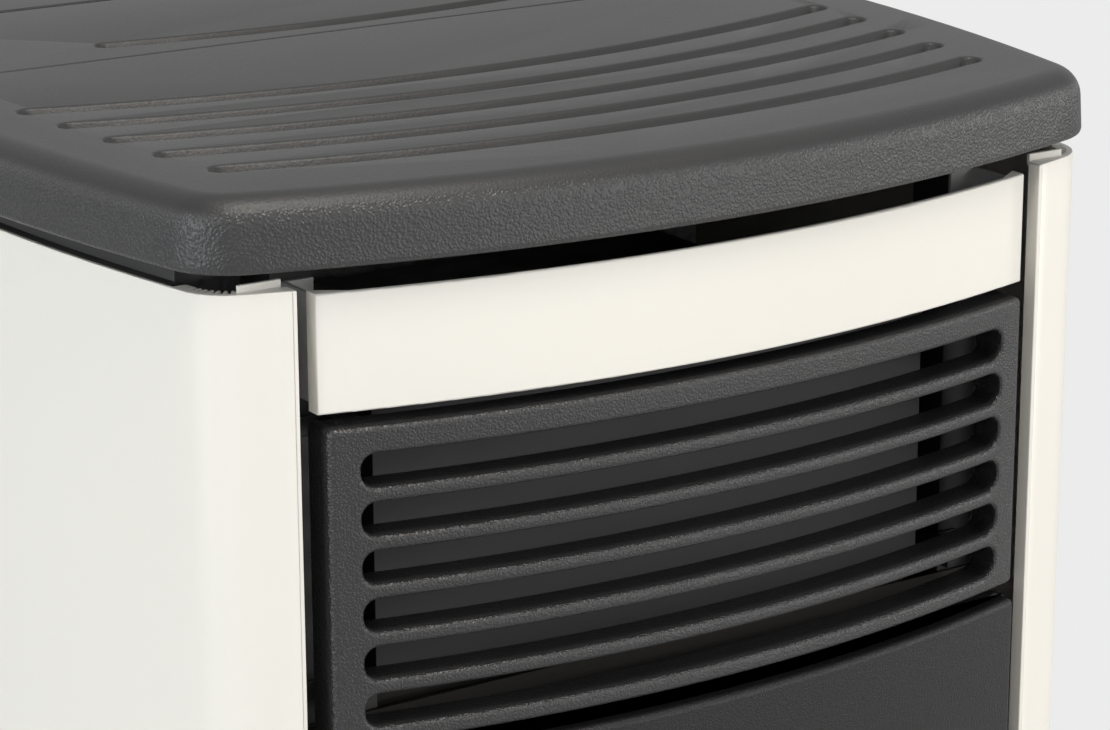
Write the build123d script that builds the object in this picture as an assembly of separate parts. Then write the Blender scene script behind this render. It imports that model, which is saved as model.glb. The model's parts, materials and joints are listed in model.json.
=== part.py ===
from build123d import *
import os
from math import asin, cos, degrees, radians, sin, sqrt

# Pellet stove with a bowed cast-iron top, cream sheet panels and a slotted cast grille.
# Millimetres, +Z up, front towards -Y, origin on the floor under the middle of the overall box.
# Depths are counted backwards from the face plane, which passes through the ends of the front band.

# Body plan
stove_height = 980
body_half_width = 260.7
body_depth = 490
widest_depth = 257.3
front_radius = 720
side_radius = 1150
sheet = 2
fit_gap = 0.3
seat_gap = 0.05

# Cast top plate
plate_height = 32
plate_side_overhang = 9.3
plate_widest_depth = 280
plate_front_overhang = 6.7
plate_rear_overhang = 4
plate_front_corner = 34
plate_rear_corner = 26
plate_roll = 14
plate_foot_bevel = 2
plate_wall = 9
plate_thick = 10
skirt_taper = 3.5
groove_count = 5
groove_pitch = 35
first_groove_depth = 27.4
groove_margin = 41
groove_width = 13
groove_cut = 4.5
groove_taper = 25
lug_half = 6
lug_edge_inset = 34
lug_rear_x = 190
lug_front_depth = 8
lug_rear_inset = 28

# Hopper lid
lid_half_width = 222
lid_front_depth = 288
lid_rear_gap = 9
lid_gap = 1.2
lid_groove_inset = 19.4
lid_groove_half = 131
lid_corner = 5
lid_pin_radius = 2.5
lid_pin_length = 30
lid_seal_width = 9
lid_seal_thick = 4

# Side panels
panel_rise = 3.1
panel_bottom = 30
panel_front_x = 198
panel_proud = 3
panel_corner = 27
panel_fold = 3
panel_return = 8
panel_rear_flange = 26
panel_rim = 8
rim_end_depth = 34
finger_count = 7
finger_pitch = 8.6
finger_width = 1.3
finger_length = 5
tab_width = 20
tab_rise = 6
tab_setback = 3

# Stepped flanges of the top frame, along the side panels' upper edges
frame_rise = 12.4
flange_width = 6.5
flange_front = 40
flange_rear_inset = 20

# Front band
skirt_gap = 11.5
band_half_width = 189
band_height = 52
band_return = 8

# Air grille
band_gap = 6.2
grille_half_width = 187
grille_proud = 3.5
grille_depth = 17
grille_top_rim = 12
grille_bottom_rim = 7.5
grille_rim_hold = 4
slot_count = 6
slot_height = 15
slot_bar = 6.5
slot_half_length = 173
slot_corner = 6.5
grille_edge = 2.5
grille_corner = 4

# Parts behind the grille
baffle_half_width = 150
baffle_depth = 24
baffle_height = 126
bracket_width = 12
bracket_height = 9
bracket_x = 164

# Fire door
door_gap = 9
door_half_width = 189
door_proud = 4
door_height = 467
door_skin = 8
door_back_depth = 10
door_flange = 6
door_edge = 3
window_half_width = 128
window_height = 300
window_drop = 74
window_corner = 22
window_taper = 20
glass_thick = 4
glass_margin = 14
gasket_thick = 1.5
clip_width = 22
clip_thick = 2
rope_radius = 2.7
rope_corner = 16

# Door hinge
hinge_x = 178
hinge_depth = 2
hinge_pin_radius = 4
hinge_clearance = 0.1
hinge_boss_radius = 8
hinge_boss_length = 26
hinge_bracket_thick = 4
hinge_bracket_gap = 1.5
hinge_head_radius = 6
hinge_head = 2

# Door handle and latch
spindle_x = 168
spindle_rise = 239.7
spindle_radius = 5
spindle_clearance = 0.1
handle_reach = 52
handle_thick = 12
handle_width = 16
handle_length = 112
spindle_boss_radius = 12
tongue_depth = 17
tongue_thick = 4
tongue_length = 18
tongue_width = 10
tongue_rest_angle = 60
keeper_half_height = 9
keeper_lip_depth = 12.5
keeper_lip_thick = 3
keeper_inner_x = 180
keeper_outer_x = 189

# Ash drawer
drawer_gap = 10
drawer_front_bottom = 45.3
drawer_half_width = 146
drawer_rear_gap = 15
drawer_bottom = 72
drawer_rim_drop = 50.3
drawer_plate_margin = 4
grip_half_width = 60
grip_height = 20
grip_drop = 30
runner_half_span = 155
runner_width = 25
runner_height = 8

# Chassis
base_bottom = 25
base_thick = 3
base_lip = 12
base_corner = 46
base_rear_corner = 6
post_inner_x = 172
post_width = 20
post_depth = 26
front_post_depth = 34
rear_post_inner_x = 205
rear_post_inset = 38
frame_thick = 3
frame_front_inset = 14
frame_rear_gap = 2
stand_thick = 3
bulkhead_thick = 3
bulkhead_half_width = 225

# Levelling feet
foot_x = 175
foot_front_depth = 80
foot_rear_inset = 60
foot_radius = 22
foot_height = 14
stud_radius = 5
stud_clearance = 0.05
stud_top = 52
nut_flats = 17
nut_height = 8

# Firebox
firebox_half_width = 158
firebox_front = 16
firebox_back = 250
firebox_lift = 24.7
firebox_height = 420
firebox_wall = 4
firebox_mouth_margin = 22
chute_half_width = 70
chute_half_depth = 45
liner_thick = 5
liner_rib = 5
liner_rib_count = 9
hearth_rise = 68
hearth_thick = 8
pot_depth = 140
pot_half_width = 55
pot_half_depth = 45
pot_draw = 9
pot_wall = 5
pot_rise = 17
pot_height = 68
pot_rim = 8
pot_rim_thick = 4
pot_slot_width = 6
pot_slot_length = 44
pot_slot_pitch = 16
igniter_radius = 5
igniter_gap = 0.2
igniter_drop = 20

# Heat exchanger
exchanger_half_width = 148
exchanger_front = 40
exchanger_height = 160
exchanger_plate = 3
tube_radius = 30
tube_wall = 2
tube_columns = 3
tube_rows = 1
tube_pitch_x = 88
tube_pitch_z = 66

# Hopper
hopper_half_width = 212
hopper_mouth_gap = 6
hopper_straight = 165.7
hopper_outlet_half = 32
hopper_outlet_setback = 40
hopper_outlet_half_depth = 20
hopper_outlet_rise = 28
hopper_lip = 6

# Auger
auger_setback = 18
auger_low_rise = 235
auger_high_reach = 2
auger_high_rise = 350
auger_tube_radius = 30
auger_tube_wall = 3
auger_flight_radius = 25.5
auger_flight_thick = 3
auger_shaft_radius = 6
auger_pitch = 56
auger_cap = 5
auger_clearance = 0.1
gearbox_length = 22
gearbox_size = 56
gearmotor_radius = 20
gearmotor_length = 30

# Exhaust fan
exhaust_inset = 84
exhaust_drop = 55
exhaust_radius = 66
exhaust_half_width = 42
exhaust_wall = 4
impeller_radius = 54
impeller_blades = 6
blade_thick = 2
blade_lean = 12
impeller_hub_radius = 14
fan_shaft_radius = 5
fan_clearance = 0.1
exhaust_motor_radius = 38
exhaust_motor_length = 55
flue_radius = 40
flue_wall = 2
collar_reach = 42
collar_flange = 54

# Air intake
intake_x = 120
intake_rise = 32
intake_radius = 25
intake_reach = 30
intake_flange = 34

# Room air fan
room_fan_inset = 60
room_fan_rise = 107
room_fan_left = -124
room_fan_right = 104
room_fan_wall = 3
room_wheel_radius = 34
room_wheel_gap = 3
room_wheel_blades = 8
room_fan_motor_radius = 28
room_fan_motor_length = 42

# Circuit board
board_x = 120
board_rise = 145
board_width = 92
board_height = 120
board_thick = 2
board_margin = 12
standoff = 7
standoff_width = 6
transformer_size = 30
transformer_height = 36
transformer_depth = 24
terminal_height = 11
terminal_depth = 11
capacitor_radius = 6
capacitor_length = 18

# Rear panel
rear_panel_margin = 4
rear_panel_gap = 1
vent_length = 100
vent_height = 6
vent_pitch = 18
vent_rows = 4
vent_x = 70
vent_low_rise = 115
vent_high_rise = 415
rear_screw_rows = 4
screw_radius = 4
screw_head = 2.4

# Power inlet and switch
inlet_x = -165
inlet_z = 110
inlet_width = 30
inlet_height = 23
switch_offset = 36
switch_width = 15
switch_height = 22
rocker_pivot_radius = 1.6
rocker_pivot_inset = 3
inlet_flange = 4
inlet_depth = 18

# Control panel
control_x = 115
control_inset = 38
control_width = 150
control_span = 30
control_flange = 2
control_body_inset = 4
control_body_depth = 12
display_width = 46
display_span = 18
display_offset = -44
display_thick = 1.5
button_count = 3
button_pitch = 24
button_offset = 8
button_radius = 5
button_flange = 1.4
button_flange_thick = 1.2
button_proud = 1
button_clearance = 0.15

# Levels and places worked out from the sizes above
bow_centre = sqrt(front_radius**2 - band_half_width**2)
face_y = handle_reach - (handle_reach + body_depth + collar_reach) / 2
plate_bottom = stove_height - plate_height
band_top = plate_bottom - skirt_gap
band_bottom = band_top - band_height
grille_top = band_bottom - band_gap
slots_height = slot_count * slot_height + (slot_count - 1) * slot_bar
grille_bottom = grille_top - grille_top_rim - slots_height - grille_bottom_rim
door_top = grille_bottom - door_gap
door_bottom = door_top - door_height
drawer_front_top = door_bottom - drawer_gap
drawer_top = drawer_front_top - drawer_rim_drop
spindle_z = door_bottom + spindle_rise
firebox_bottom = door_bottom + firebox_lift
firebox_top = firebox_bottom + firebox_height
hearth_top = firebox_bottom + hearth_rise
pot_top = hearth_top + pot_rise
pot_bottom = pot_top - pot_height
panel_top = band_top + panel_rise
base_top = base_bottom + base_thick
base_front_inset = panel_rim + fit_gap - panel_proud
frame_top = panel_top + frame_rise
frame_bottom = frame_top - frame_thick
control_depth = body_depth - control_inset
lid_back_depth = control_depth - control_span / 2 - lid_rear_gap
lid_pin_depth = lid_back_depth - plate_thick / 2
lid_pin_z = stove_height - plate_thick / 2
seal_bottom = stove_height - plate_thick - lid_seal_thick
hopper_rim = seal_bottom - fit_gap
hopper_knee = hopper_rim - hopper_straight
hopper_front = lid_front_depth + hopper_mouth_gap
hopper_back = lid_back_depth - hopper_mouth_gap
hopper_outlet_depth = hopper_back - hopper_outlet_setback
auger_low_depth = hopper_outlet_depth + auger_setback
auger_low_z = firebox_bottom + auger_low_rise
auger_high_depth = firebox_back + auger_high_reach
auger_high_z = firebox_bottom + auger_high_rise
hopper_outlet_z = auger_low_z + hopper_outlet_rise
window_top = door_top - window_drop
window_bottom = window_top - window_height
gasket_proud = door_proud - door_skin - seat_gap
bulkhead_front = firebox_back + fit_gap
bulkhead_back = bulkhead_front + bulkhead_thick
surround_back = front_post_depth
surround_front = surround_back - sheet
rear_face = body_depth + sheet
rear_post_depth = body_depth - rear_post_inset
foot_rear_depth = body_depth - foot_rear_inset
exhaust_depth = body_depth - exhaust_inset
exhaust_z = firebox_bottom - exhaust_drop
drawer_length = exhaust_depth - exhaust_radius - drawer_rear_gap - door_back_depth
intake_z = firebox_bottom + intake_rise
room_fan_depth = body_depth - room_fan_inset
room_fan_z = firebox_bottom + room_fan_rise
board_z = firebox_bottom + board_rise
exchanger_top = firebox_top + exchanger_height
igniter_z = hearth_top - igniter_drop


def back(depth):
    """The Y of a plane this far behind the face plane."""
    return face_y + depth


def block(x0, x1, d0, d1, z0, z1):
    """A cuboid between two corners, with depths counted from the face plane."""
    size = Box(x1 - x0, d1 - d0, z1 - z0)
    return Pos((x0 + x1) / 2, back((d0 + d1) / 2), (z0 + z1) / 2) * size


def rod_x(x0, x1, depth, z, radius):
    """A cylinder along X."""
    return Pos((x0 + x1) / 2, back(depth), z) * Rot(0, 90, 0) * Cylinder(radius, x1 - x0)


def rod_y(x, d0, d1, z, radius):
    """A cylinder along Y."""
    return Pos(x, back((d0 + d1) / 2), z) * Rot(90, 0, 0) * Cylinder(radius, d1 - d0)


def rod_z(x, depth, z0, z1, radius):
    """A cylinder along Z."""
    return Pos(x, back(depth), (z0 + z1) / 2) * Cylinder(radius, z1 - z0)


def both_sides(solid):
    """A solid and its mirror image across the middle of the stove."""
    return solid + mirror(solid, about=Plane.YZ)


def bow_depth(x, proud=0.0):
    """Depth of the bowed front at this X; negative is in front of the face plane."""
    return bow_centre - sqrt((front_radius + proud) ** 2 - x**2)


def side_x(depth, grow=0.0, widest_at=widest_depth):
    """Half width of the bowed side at this depth."""
    radius = side_radius + grow
    return body_half_width - side_radius + sqrt(radius**2 - (depth - widest_at) ** 2)


def bow_arc(half_width, proud):
    """The bowed front line from left to right."""
    ends = back(bow_depth(half_width, proud))
    return ThreePointArc((-half_width, ends), (0, back(bow_depth(0, proud))), (half_width, ends))


def bowed_slab(half_width, proud, back_depth, z0, z1):
    """A slab with a bowed front and a flat back."""
    ends = back(bow_depth(half_width, proud))
    rear = back(back_depth)
    sides = Polyline((half_width, ends), (half_width, rear), (-half_width, rear), (-half_width, ends))
    outline = make_face(Wire([bow_arc(half_width, proud)] + sides.edges()))
    return extrude(Pos(0, 0, z0) * outline, z1 - z0)


def bowed_sheet(half_width, proud, thickness, z0, z1):
    """A curved sheet of even thickness behind the bowed front."""
    front = bow_arc(half_width, proud)
    rear = bow_arc(half_width, proud - thickness)
    right = Line(front @ 1, rear @ 1)
    left = Line(rear @ 0, front @ 0)
    return extrude(Pos(0, 0, z0) * make_face(Wire([front, right, rear, left])), z1 - z0)


def front_window(half_width, z0, z1, corner, depth, reach):
    """A rounded upright cutter that runs along Y from a depth backwards."""
    plane = Plane(origin=(0, back(depth), (z0 + z1) / 2), x_dir=(1, 0, 0), z_dir=(0, 1, 0))
    return extrude(plane * RectangleRounded(2 * half_width, z1 - z0, corner), reach)


def body_outline(side_grow, front_grow, rear_depth, front_corner, rear_corner,
                 widest_at=widest_depth):
    """The closed plan of the body: bowed front and sides, straight back, rounded corners."""
    front_r = front_radius + front_grow
    side_r = side_radius + side_grow
    side_cx = body_half_width - side_radius
    span = sqrt(side_cx**2 + (widest_at - bow_centre) ** 2)
    along = (front_r**2 - side_r**2 + span**2) / (2 * span)
    across = sqrt(front_r**2 - along**2)
    ux = side_cx / span
    uy = (widest_at - bow_centre) / span
    corner_x = ux * along - uy * across
    corner_d = bow_centre + uy * along + ux * across
    rear_x = side_x(rear_depth, side_grow, widest_at)
    widest = body_half_width + side_grow
    corner = (corner_x, back(corner_d))
    left_corner = (-corner_x, back(corner_d))
    rear = (rear_x, back(rear_depth))
    left_rear = (-rear_x, back(rear_depth))
    front = ThreePointArc(left_corner, (0, back(bow_centre - front_r)), corner)
    right = ThreePointArc(corner, (widest, back(widest_at)), rear)
    left = ThreePointArc(left_rear, (-widest, back(widest_at)), left_corner)
    outline = make_face(Wire([front, right, Line(rear, left_rear), left]))
    outline = fillet(outline.vertices().sort_by(Axis.Y)[:2], front_corner)
    return fillet(outline.vertices().sort_by(Axis.Y)[-2:], rear_corner)


def groove(apex_depth, half_length):
    """A cutter for one round-ended groove, parallel to the bowed front."""
    sag = front_radius - sqrt(front_radius**2 - half_length**2)
    tip = back(apex_depth + sag)
    line = ThreePointArc((-half_length, tip), (0, back(apex_depth)), (half_length, tip))
    slot = Pos(0, 0, stove_height) * SlotArc(line, groove_width)
    return extrude(slot, -groove_cut, taper=groove_taper)


def groove_half_length(apex_depth):
    """Half length of a groove whose tips keep the margin from the plate's sides."""
    tip = apex_depth
    for _ in range(8):
        reach = side_x(tip, plate_side_overhang, plate_widest_depth)
        half = reach - groove_margin - groove_width / 2
        tip = apex_depth + front_radius - sqrt(front_radius**2 - half**2)
    return half


def control_cutout(grow):
    """The opening in the top plate that takes the control panel's body."""
    half = control_width / 2 - control_body_inset + grow
    span = control_span / 2 - control_body_inset + grow
    z0 = stove_height - plate_thick - 5
    return block(control_x - half, control_x + half, control_depth - span, control_depth + span,
                 z0, stove_height + 1)


def make_top_plate():
    """Cast top: rolled skirt, hollow underside, bowed grooves, lid and control openings, lugs."""
    rear = body_depth + plate_rear_overhang
    outline = body_outline(plate_side_overhang, plate_front_overhang, rear, plate_front_corner,
                           plate_rear_corner, plate_widest_depth)
    hollow = body_outline(plate_side_overhang - plate_wall, plate_front_overhang - plate_wall,
                          rear - plate_wall, plate_front_corner - plate_wall,
                          plate_rear_corner - plate_wall, plate_widest_depth)
    plate = extrude(Pos(0, 0, plate_bottom) * outline, plate_height, taper=skirt_taper)
    top_edges = plate.faces().sort_by(Axis.Z)[-1].outer_wire().edges()
    plate = fillet(top_edges, plate_roll)
    foot_edges = plate.faces().sort_by(Axis.Z)[0].outer_wire().edges()
    plate = chamfer(foot_edges, plate_foot_bevel)
    plate -= extrude(Pos(0, 0, plate_bottom) * hollow, plate_height - plate_thick, taper=skirt_taper)
    for index in range(groove_count):
        apex = first_groove_depth + index * groove_pitch
        plate -= groove(apex, groove_half_length(apex))
    z0 = plate_bottom
    z1 = stove_height + 1
    plate -= block(-lid_half_width - lid_gap, lid_half_width + lid_gap, lid_front_depth - lid_gap,
                   lid_back_depth + lid_gap, z0, z1)
    pin_reach = lid_half_width + lid_pin_length / 2
    plate -= rod_x(-pin_reach, pin_reach, lid_pin_depth, lid_pin_z, lid_pin_radius)
    plate -= control_cutout(fit_gap)
    plate -= block(control_x - control_width / 2 - fit_gap, control_x + control_width / 2 + fit_gap,
                   control_depth - control_span / 2 - fit_gap,
                   control_depth + control_span / 2 + fit_gap,
                   stove_height - control_flange, z1)
    for x, depth in lug_places():
        plate += block(x - lug_half, x + lug_half, depth - lug_half, depth + lug_half, frame_top,
                       stove_height - plate_thick)
    return plate


def lug_places():
    """Where the underside lugs stand on the top frame."""
    places = []
    for share in (0.08, 0.3, 0.53):
        depth = share * body_depth
        reach = side_x(depth, 0, plate_widest_depth) - lug_edge_inset
        places += [(-reach, depth), (reach, depth)]
    rear = body_depth - lug_rear_inset
    return places + [(0, lug_front_depth), (-lug_rear_x, rear), (0, rear)]


def make_lid():
    """Hopper lid: flush plate with one groove and a round back edge that turns on two pins."""
    z0 = stove_height - plate_thick
    lid = block(-lid_half_width, lid_half_width, lid_front_depth, lid_back_depth, z0, stove_height)
    upright = lid.edges().filter_by(Axis.Z).sort_by(Axis.Y)[:2]
    lid = fillet(upright, lid_corner)
    rear = lid.faces().sort_by(Axis.Y)[-1].edges().filter_by(Axis.X)
    lid = fillet(rear, plate_thick / 2 - 0.05)
    lid -= groove(lid_front_depth + lid_groove_inset, lid_groove_half - groove_width / 2)
    bore = lid_pin_radius + hinge_clearance
    inner = lid_half_width - lid_pin_length / 2
    holes = rod_x(inner - 1, lid_half_width + 1, lid_pin_depth, lid_pin_z, bore)
    return lid - both_sides(holes)


def make_lid_pins():
    """Two pins that carry the lid at its back corners."""
    inner = lid_half_width - lid_pin_length / 2
    outer = lid_half_width + lid_pin_length / 2
    return both_sides(rod_x(inner, outer, lid_pin_depth, lid_pin_z, lid_pin_radius))


def make_lid_seal():
    """Flat silicone ring under the lid, over the hopper's rim."""
    top = stove_height - plate_thick
    reach = lid_seal_width / 2
    ring = block(-hopper_half_width - reach, hopper_half_width + reach, hopper_front - reach,
                 hopper_back + reach, seal_bottom, top)
    inner = block(-hopper_half_width + reach, hopper_half_width - reach, hopper_front + reach,
                  hopper_back - reach, seal_bottom, top)
    rear_cut = block(-hopper_half_width - 20, hopper_half_width + 20, lid_back_depth - plate_thick,
                     lid_back_depth + 20, seal_bottom, top)
    return ring - inner - rear_cut


def inset_plan(inset):
    """The plan of the side panels' outside, moved inwards."""
    return body_outline(-inset, panel_proud - inset, body_depth - inset, panel_corner - inset,
                        max(panel_fold - inset, 0.5))


def panel_ring(inset, width, z0, z1):
    """A band of even width inside the panels' plan, between two levels."""
    return extrude(Pos(0, 0, z0) * (inset_plan(inset) - inset_plan(inset + width)), z1 - z0)


def make_side_panel():
    """Right side panel: folded sheet with a comb of relief cuts round its upper front corner."""
    rear_x = side_x(body_depth) - panel_rear_flange
    middle = body_depth / 2
    span = block(panel_front_x, 2 * body_half_width, -front_radius, middle, 0, stove_height)
    span += block(rear_x, 2 * body_half_width, middle, 2 * body_depth, 0, stove_height)
    panel = panel_ring(0, sheet, panel_bottom, panel_top)
    panel += panel_ring(0, panel_rim, panel_bottom, panel_bottom + sheet)
    rim = panel_ring(0, panel_rim, panel_top - sheet, panel_top)
    panel += rim - block(0, 2 * body_half_width, rim_end_depth, 2 * body_depth, 0, stove_height)
    panel = panel & span
    front = bow_depth(panel_front_x, panel_proud)
    panel += block(panel_front_x, panel_front_x + sheet, front, front + panel_return, panel_bottom,
                   panel_top)
    return panel - corner_comb() + panel_tab()


def corner_comb():
    """Cutters for the relief cuts round the upper front corner of a side panel."""
    centre_x, centre_depth, turn = panel_corner_centre()
    reach = panel_corner - panel_rim + finger_length / 2 - 0.5
    cuts = None
    for index in range(finger_count):
        cut = Pos(reach, 0, 0) * Box(finger_length, finger_width, 3 * sheet)
        turned = Rot(0, 0, -turn - (index + 0.5) * finger_pitch) * cut
        placed = Pos(centre_x, back(centre_depth), panel_top) * turned
        cuts = placed if cuts is None else cuts + placed
    return cuts


def panel_corner_centre():
    """Centre of a side panel's rounded front corner, and the turn of its side there."""
    side_r = side_radius - panel_corner
    front_r = front_radius + panel_proud - panel_corner
    side_cx = body_half_width - side_radius
    span = sqrt(side_cx**2 + (widest_depth - bow_centre) ** 2)
    along = (front_r**2 - side_r**2 + span**2) / (2 * span)
    across = sqrt(front_r**2 - along**2)
    ux = side_cx / span
    uy = (widest_depth - bow_centre) / span
    x = ux * along - uy * across
    depth = bow_centre + uy * along + ux * across
    return x, depth, degrees(asin((widest_depth - depth) / side_r))


def panel_tab():
    """The upright tab behind the front of a side panel's upper edge."""
    x0 = panel_front_x + sheet
    depth = bow_depth(x0 + tab_width, panel_proud) + tab_setback
    return block(x0, x0 + tab_width, depth, depth + sheet, panel_top - sheet, panel_top + tab_rise)


def make_band():
    """Front band: a folded sheet tray, open at the back."""
    outer = bowed_sheet(band_half_width, 0, band_return, band_bottom, band_top)
    top_edges = outer.edges().filter_by(GeomType.CIRCLE).group_by(Axis.Y)[0]
    outer = fillet(top_edges, 1)
    inner = bowed_sheet(band_half_width - sheet, -sheet, band_return + 5, band_bottom + sheet,
                        band_top - sheet)
    return outer - inner


def make_front_brackets():
    """Brackets on the front posts: two for the grille and an upright plate for the band, each side."""
    low_z = grille_bottom + grille_bottom_rim + slot_height / 2 - 2
    high_z = grille_top - grille_rim_hold - fit_gap - bracket_height / 2
    x0 = bracket_x - bracket_width / 2
    x1 = bracket_x + bracket_width / 2
    front = bow_depth(x1, grille_proud - grille_depth) + fit_gap
    brackets = both_sides(band_bracket())
    for z in (low_z, high_z):
        z0 = z - bracket_height / 2
        z1 = z + bracket_height / 2
        arm = block(x0, x1, front, front_post_depth - sheet, z0, z1)
        foot = block(x0, post_inner_x + 10, front_post_depth - sheet, front_post_depth, z0, z1)
        brackets += both_sides(arm + foot)
    return brackets


def band_bracket():
    """The right upright plate inside the band's end, with a foot on the front post."""
    x1 = band_half_width - sheet - fit_gap
    front = bow_depth(x1, -sheet) + fit_gap
    z0 = band_bottom + sheet + fit_gap
    z1 = band_top - sheet - fit_gap
    plate = block(x1 - sheet, x1, front, front_post_depth, z0, z1)
    return plate + block(post_inner_x, x1, front_post_depth - sheet, front_post_depth, z0, z1)


def make_grille():
    """Cast air grille: a deep bowed plate with six rounded slots right across."""
    grille = bowed_sheet(grille_half_width, grille_proud, grille_depth, grille_bottom, grille_top)
    uprights = grille.edges().filter_by(Axis.Z).group_by(Axis.Y)[0]
    grille = fillet(uprights, grille_edge)
    start = bow_depth(0, grille_proud) - 2
    for index in range(slot_count):
        z1 = grille_top - grille_top_rim - index * (slot_height + slot_bar)
        grille -= front_window(slot_half_length, z1 - slot_height, z1, slot_corner, start, 80)
    return grille


def make_baffle():
    """Sheet tray behind the slots, which turns the room air downwards."""
    z1 = grille_top - 4
    z0 = z1 - baffle_height
    tray = block(-baffle_half_width, baffle_half_width, baffle_depth, exchanger_front, z0, z1)
    inner = block(-baffle_half_width + sheet, baffle_half_width - sheet, baffle_depth + sheet,
                  exchanger_front + 1, z0 - 1, z1 - sheet)
    return tray - inner


def hollow_casting(z0, z1):
    """A bowed casting with a skin and a rim that reaches back to a flat plane."""
    casting = bowed_slab(door_half_width, door_proud, door_back_depth, z0, z1)
    front_edges = casting.edges().filter_by(GeomType.CIRCLE)
    uprights = casting.edges().filter_by(Axis.Z).group_by(Axis.Y)[0]
    casting = fillet(front_edges + uprights, door_edge)
    return casting


def make_door():
    """Fire door casting: bowed skin, window with a sloping reveal, flanged back, hinge bosses."""
    door = hollow_casting(door_bottom, door_top)
    pocket = bowed_slab(door_half_width - door_skin, door_proud - door_skin,
                        door_back_depth - door_flange, door_bottom + door_skin, door_top - door_skin)
    for z0 in (door_bottom, door_top - hinge_boss_length):
        pocket -= rod_z(-hinge_x, hinge_depth, z0, z0 + hinge_boss_length, hinge_boss_radius)
    pocket -= rod_y(spindle_x, -handle_reach, door_back_depth, spindle_z, spindle_boss_radius)
    door -= pocket
    skin_edge = bow_depth(window_half_width, door_proud - door_skin) + 1
    plane = Plane(origin=(0, back(skin_edge), (window_top + window_bottom) / 2), x_dir=(1, 0, 0),
                  z_dir=(0, -1, 0))
    shape = RectangleRounded(2 * window_half_width, window_height, window_corner)
    door -= extrude(plane * shape, 40, taper=-window_taper)
    grow = glass_margin + 4
    door -= front_window(window_half_width + grow, window_bottom - grow, window_top + grow,
                         window_corner, door_back_depth - door_flange - 1, door_flange + 3)
    bore = hinge_pin_radius + hinge_clearance
    door -= rod_z(-hinge_x, hinge_depth, door_top - hinge_boss_length + 4, door_top + 1, bore)
    door -= rod_z(-hinge_x, hinge_depth, door_bottom - 1, door_bottom + hinge_boss_length - 4, bore)
    bore = spindle_radius + spindle_clearance
    door -= rod_y(spindle_x, -handle_reach, door_back_depth + 1, spindle_z, bore)
    return door


def make_glass():
    """Curved ceramic glass behind the door's window."""
    half = window_half_width + glass_margin
    return bowed_sheet(half, gasket_proud - gasket_thick, glass_thick, window_bottom - glass_margin,
                       window_top + glass_margin)


def make_gasket():
    """Flat tape between the glass and the door's skin."""
    half = window_half_width + glass_margin
    tape = bowed_sheet(half, gasket_proud, gasket_thick, window_bottom - glass_margin,
                       window_top + glass_margin)
    inset = 3
    return tape - front_window(window_half_width + inset, window_bottom - inset, window_top + inset,
                               window_corner, -60, 100)


def clip_places():
    """X and Z of the glass clips, with the side of the window that each one holds."""
    reach = glass_margin + 1
    return [(-70, window_top + reach, 1), (70, window_top + reach, 1),
            (-70, window_bottom - reach, -1), (70, window_bottom - reach, -1)]


def clip_seats(x):
    """Depths at which a clip here meets the glass's back and the door's skin."""
    edge = abs(x) + clip_width / 2
    glass_back = bow_depth(edge, gasket_proud - gasket_thick - glass_thick) + fit_gap
    return glass_back, bow_depth(edge, door_proud - door_skin) + fit_gap


def make_clips():
    """Four stepped clips that hold the glass at its top and bottom edges."""
    clips = None
    for x, z, side in clip_places():
        glass_back, skin_back = clip_seats(x)
        z_in = z - side * 9
        z_out = z + side * 12
        hook = block(x - clip_width / 2, x + clip_width / 2, glass_back, glass_back + clip_thick,
                     min(z_in, z_out), max(z_in, z_out))
        foot_z = sorted((z + side * 4, z_out))
        foot = block(x - clip_width / 2, x + clip_width / 2, skin_back, glass_back, *foot_z)
        clip = hook + foot
        clips = clip if clips is None else clips + clip
    return clips


def hexagon_head(x, depth, z):
    """The six-sided head of a screw whose seat is at this depth."""
    plane = Plane(origin=(x, back(depth), z), x_dir=(1, 0, 0), z_dir=(0, 1, 0))
    return extrude(plane * RegularPolygon(screw_radius, 6), screw_head)


def make_clip_screws():
    """The heads of the four screws that hold the glass clips."""
    screws = None
    for x, z, side in clip_places():
        seat = clip_seats(x)[0] + clip_thick
        screw = hexagon_head(x, seat, z + side * 8)
        screws = screw if screws is None else screws + screw
    return screws


def make_rope_seal():
    """Glass-fibre rope on the door's back, around the firebox mouth, drawn with six sides."""
    margin = firebox_mouth_margin / 2
    half = firebox_half_width - margin
    z0 = firebox_bottom + margin
    z1 = firebox_top - margin
    depth = door_back_depth + rope_radius
    plane = Plane(origin=(0, back(depth), (z0 + z1) / 2), x_dir=(1, 0, 0), z_dir=(0, 1, 0))
    path = (plane * RectangleRounded(2 * half, z1 - z0, rope_corner)).faces()[0].outer_wire()
    start = path @ 0
    section = RegularPolygon(rope_radius, 6, major_radius=False, rotation=30)
    profile = Plane(origin=start, x_dir=(0, 1, 0), z_dir=path % 0) * section
    return sweep(profile, path=path)


def hinge_brackets():
    """Arms above and below the door, with holes for the pins."""
    brackets = None
    top_z = door_top + hinge_bracket_gap
    low_z = door_bottom - hinge_bracket_gap - hinge_bracket_thick
    for z in (low_z, top_z):
        arm = block(-hinge_x - 9, -hinge_x + 9, hinge_depth, surround_front, z,
                    z + hinge_bracket_thick)
        arm += rod_z(-hinge_x, hinge_depth, z, z + hinge_bracket_thick, 9)
        arm -= rod_z(-hinge_x, hinge_depth, z - 1, z + 10, hinge_pin_radius)
        brackets = arm if brackets is None else brackets + arm
    return brackets


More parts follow.
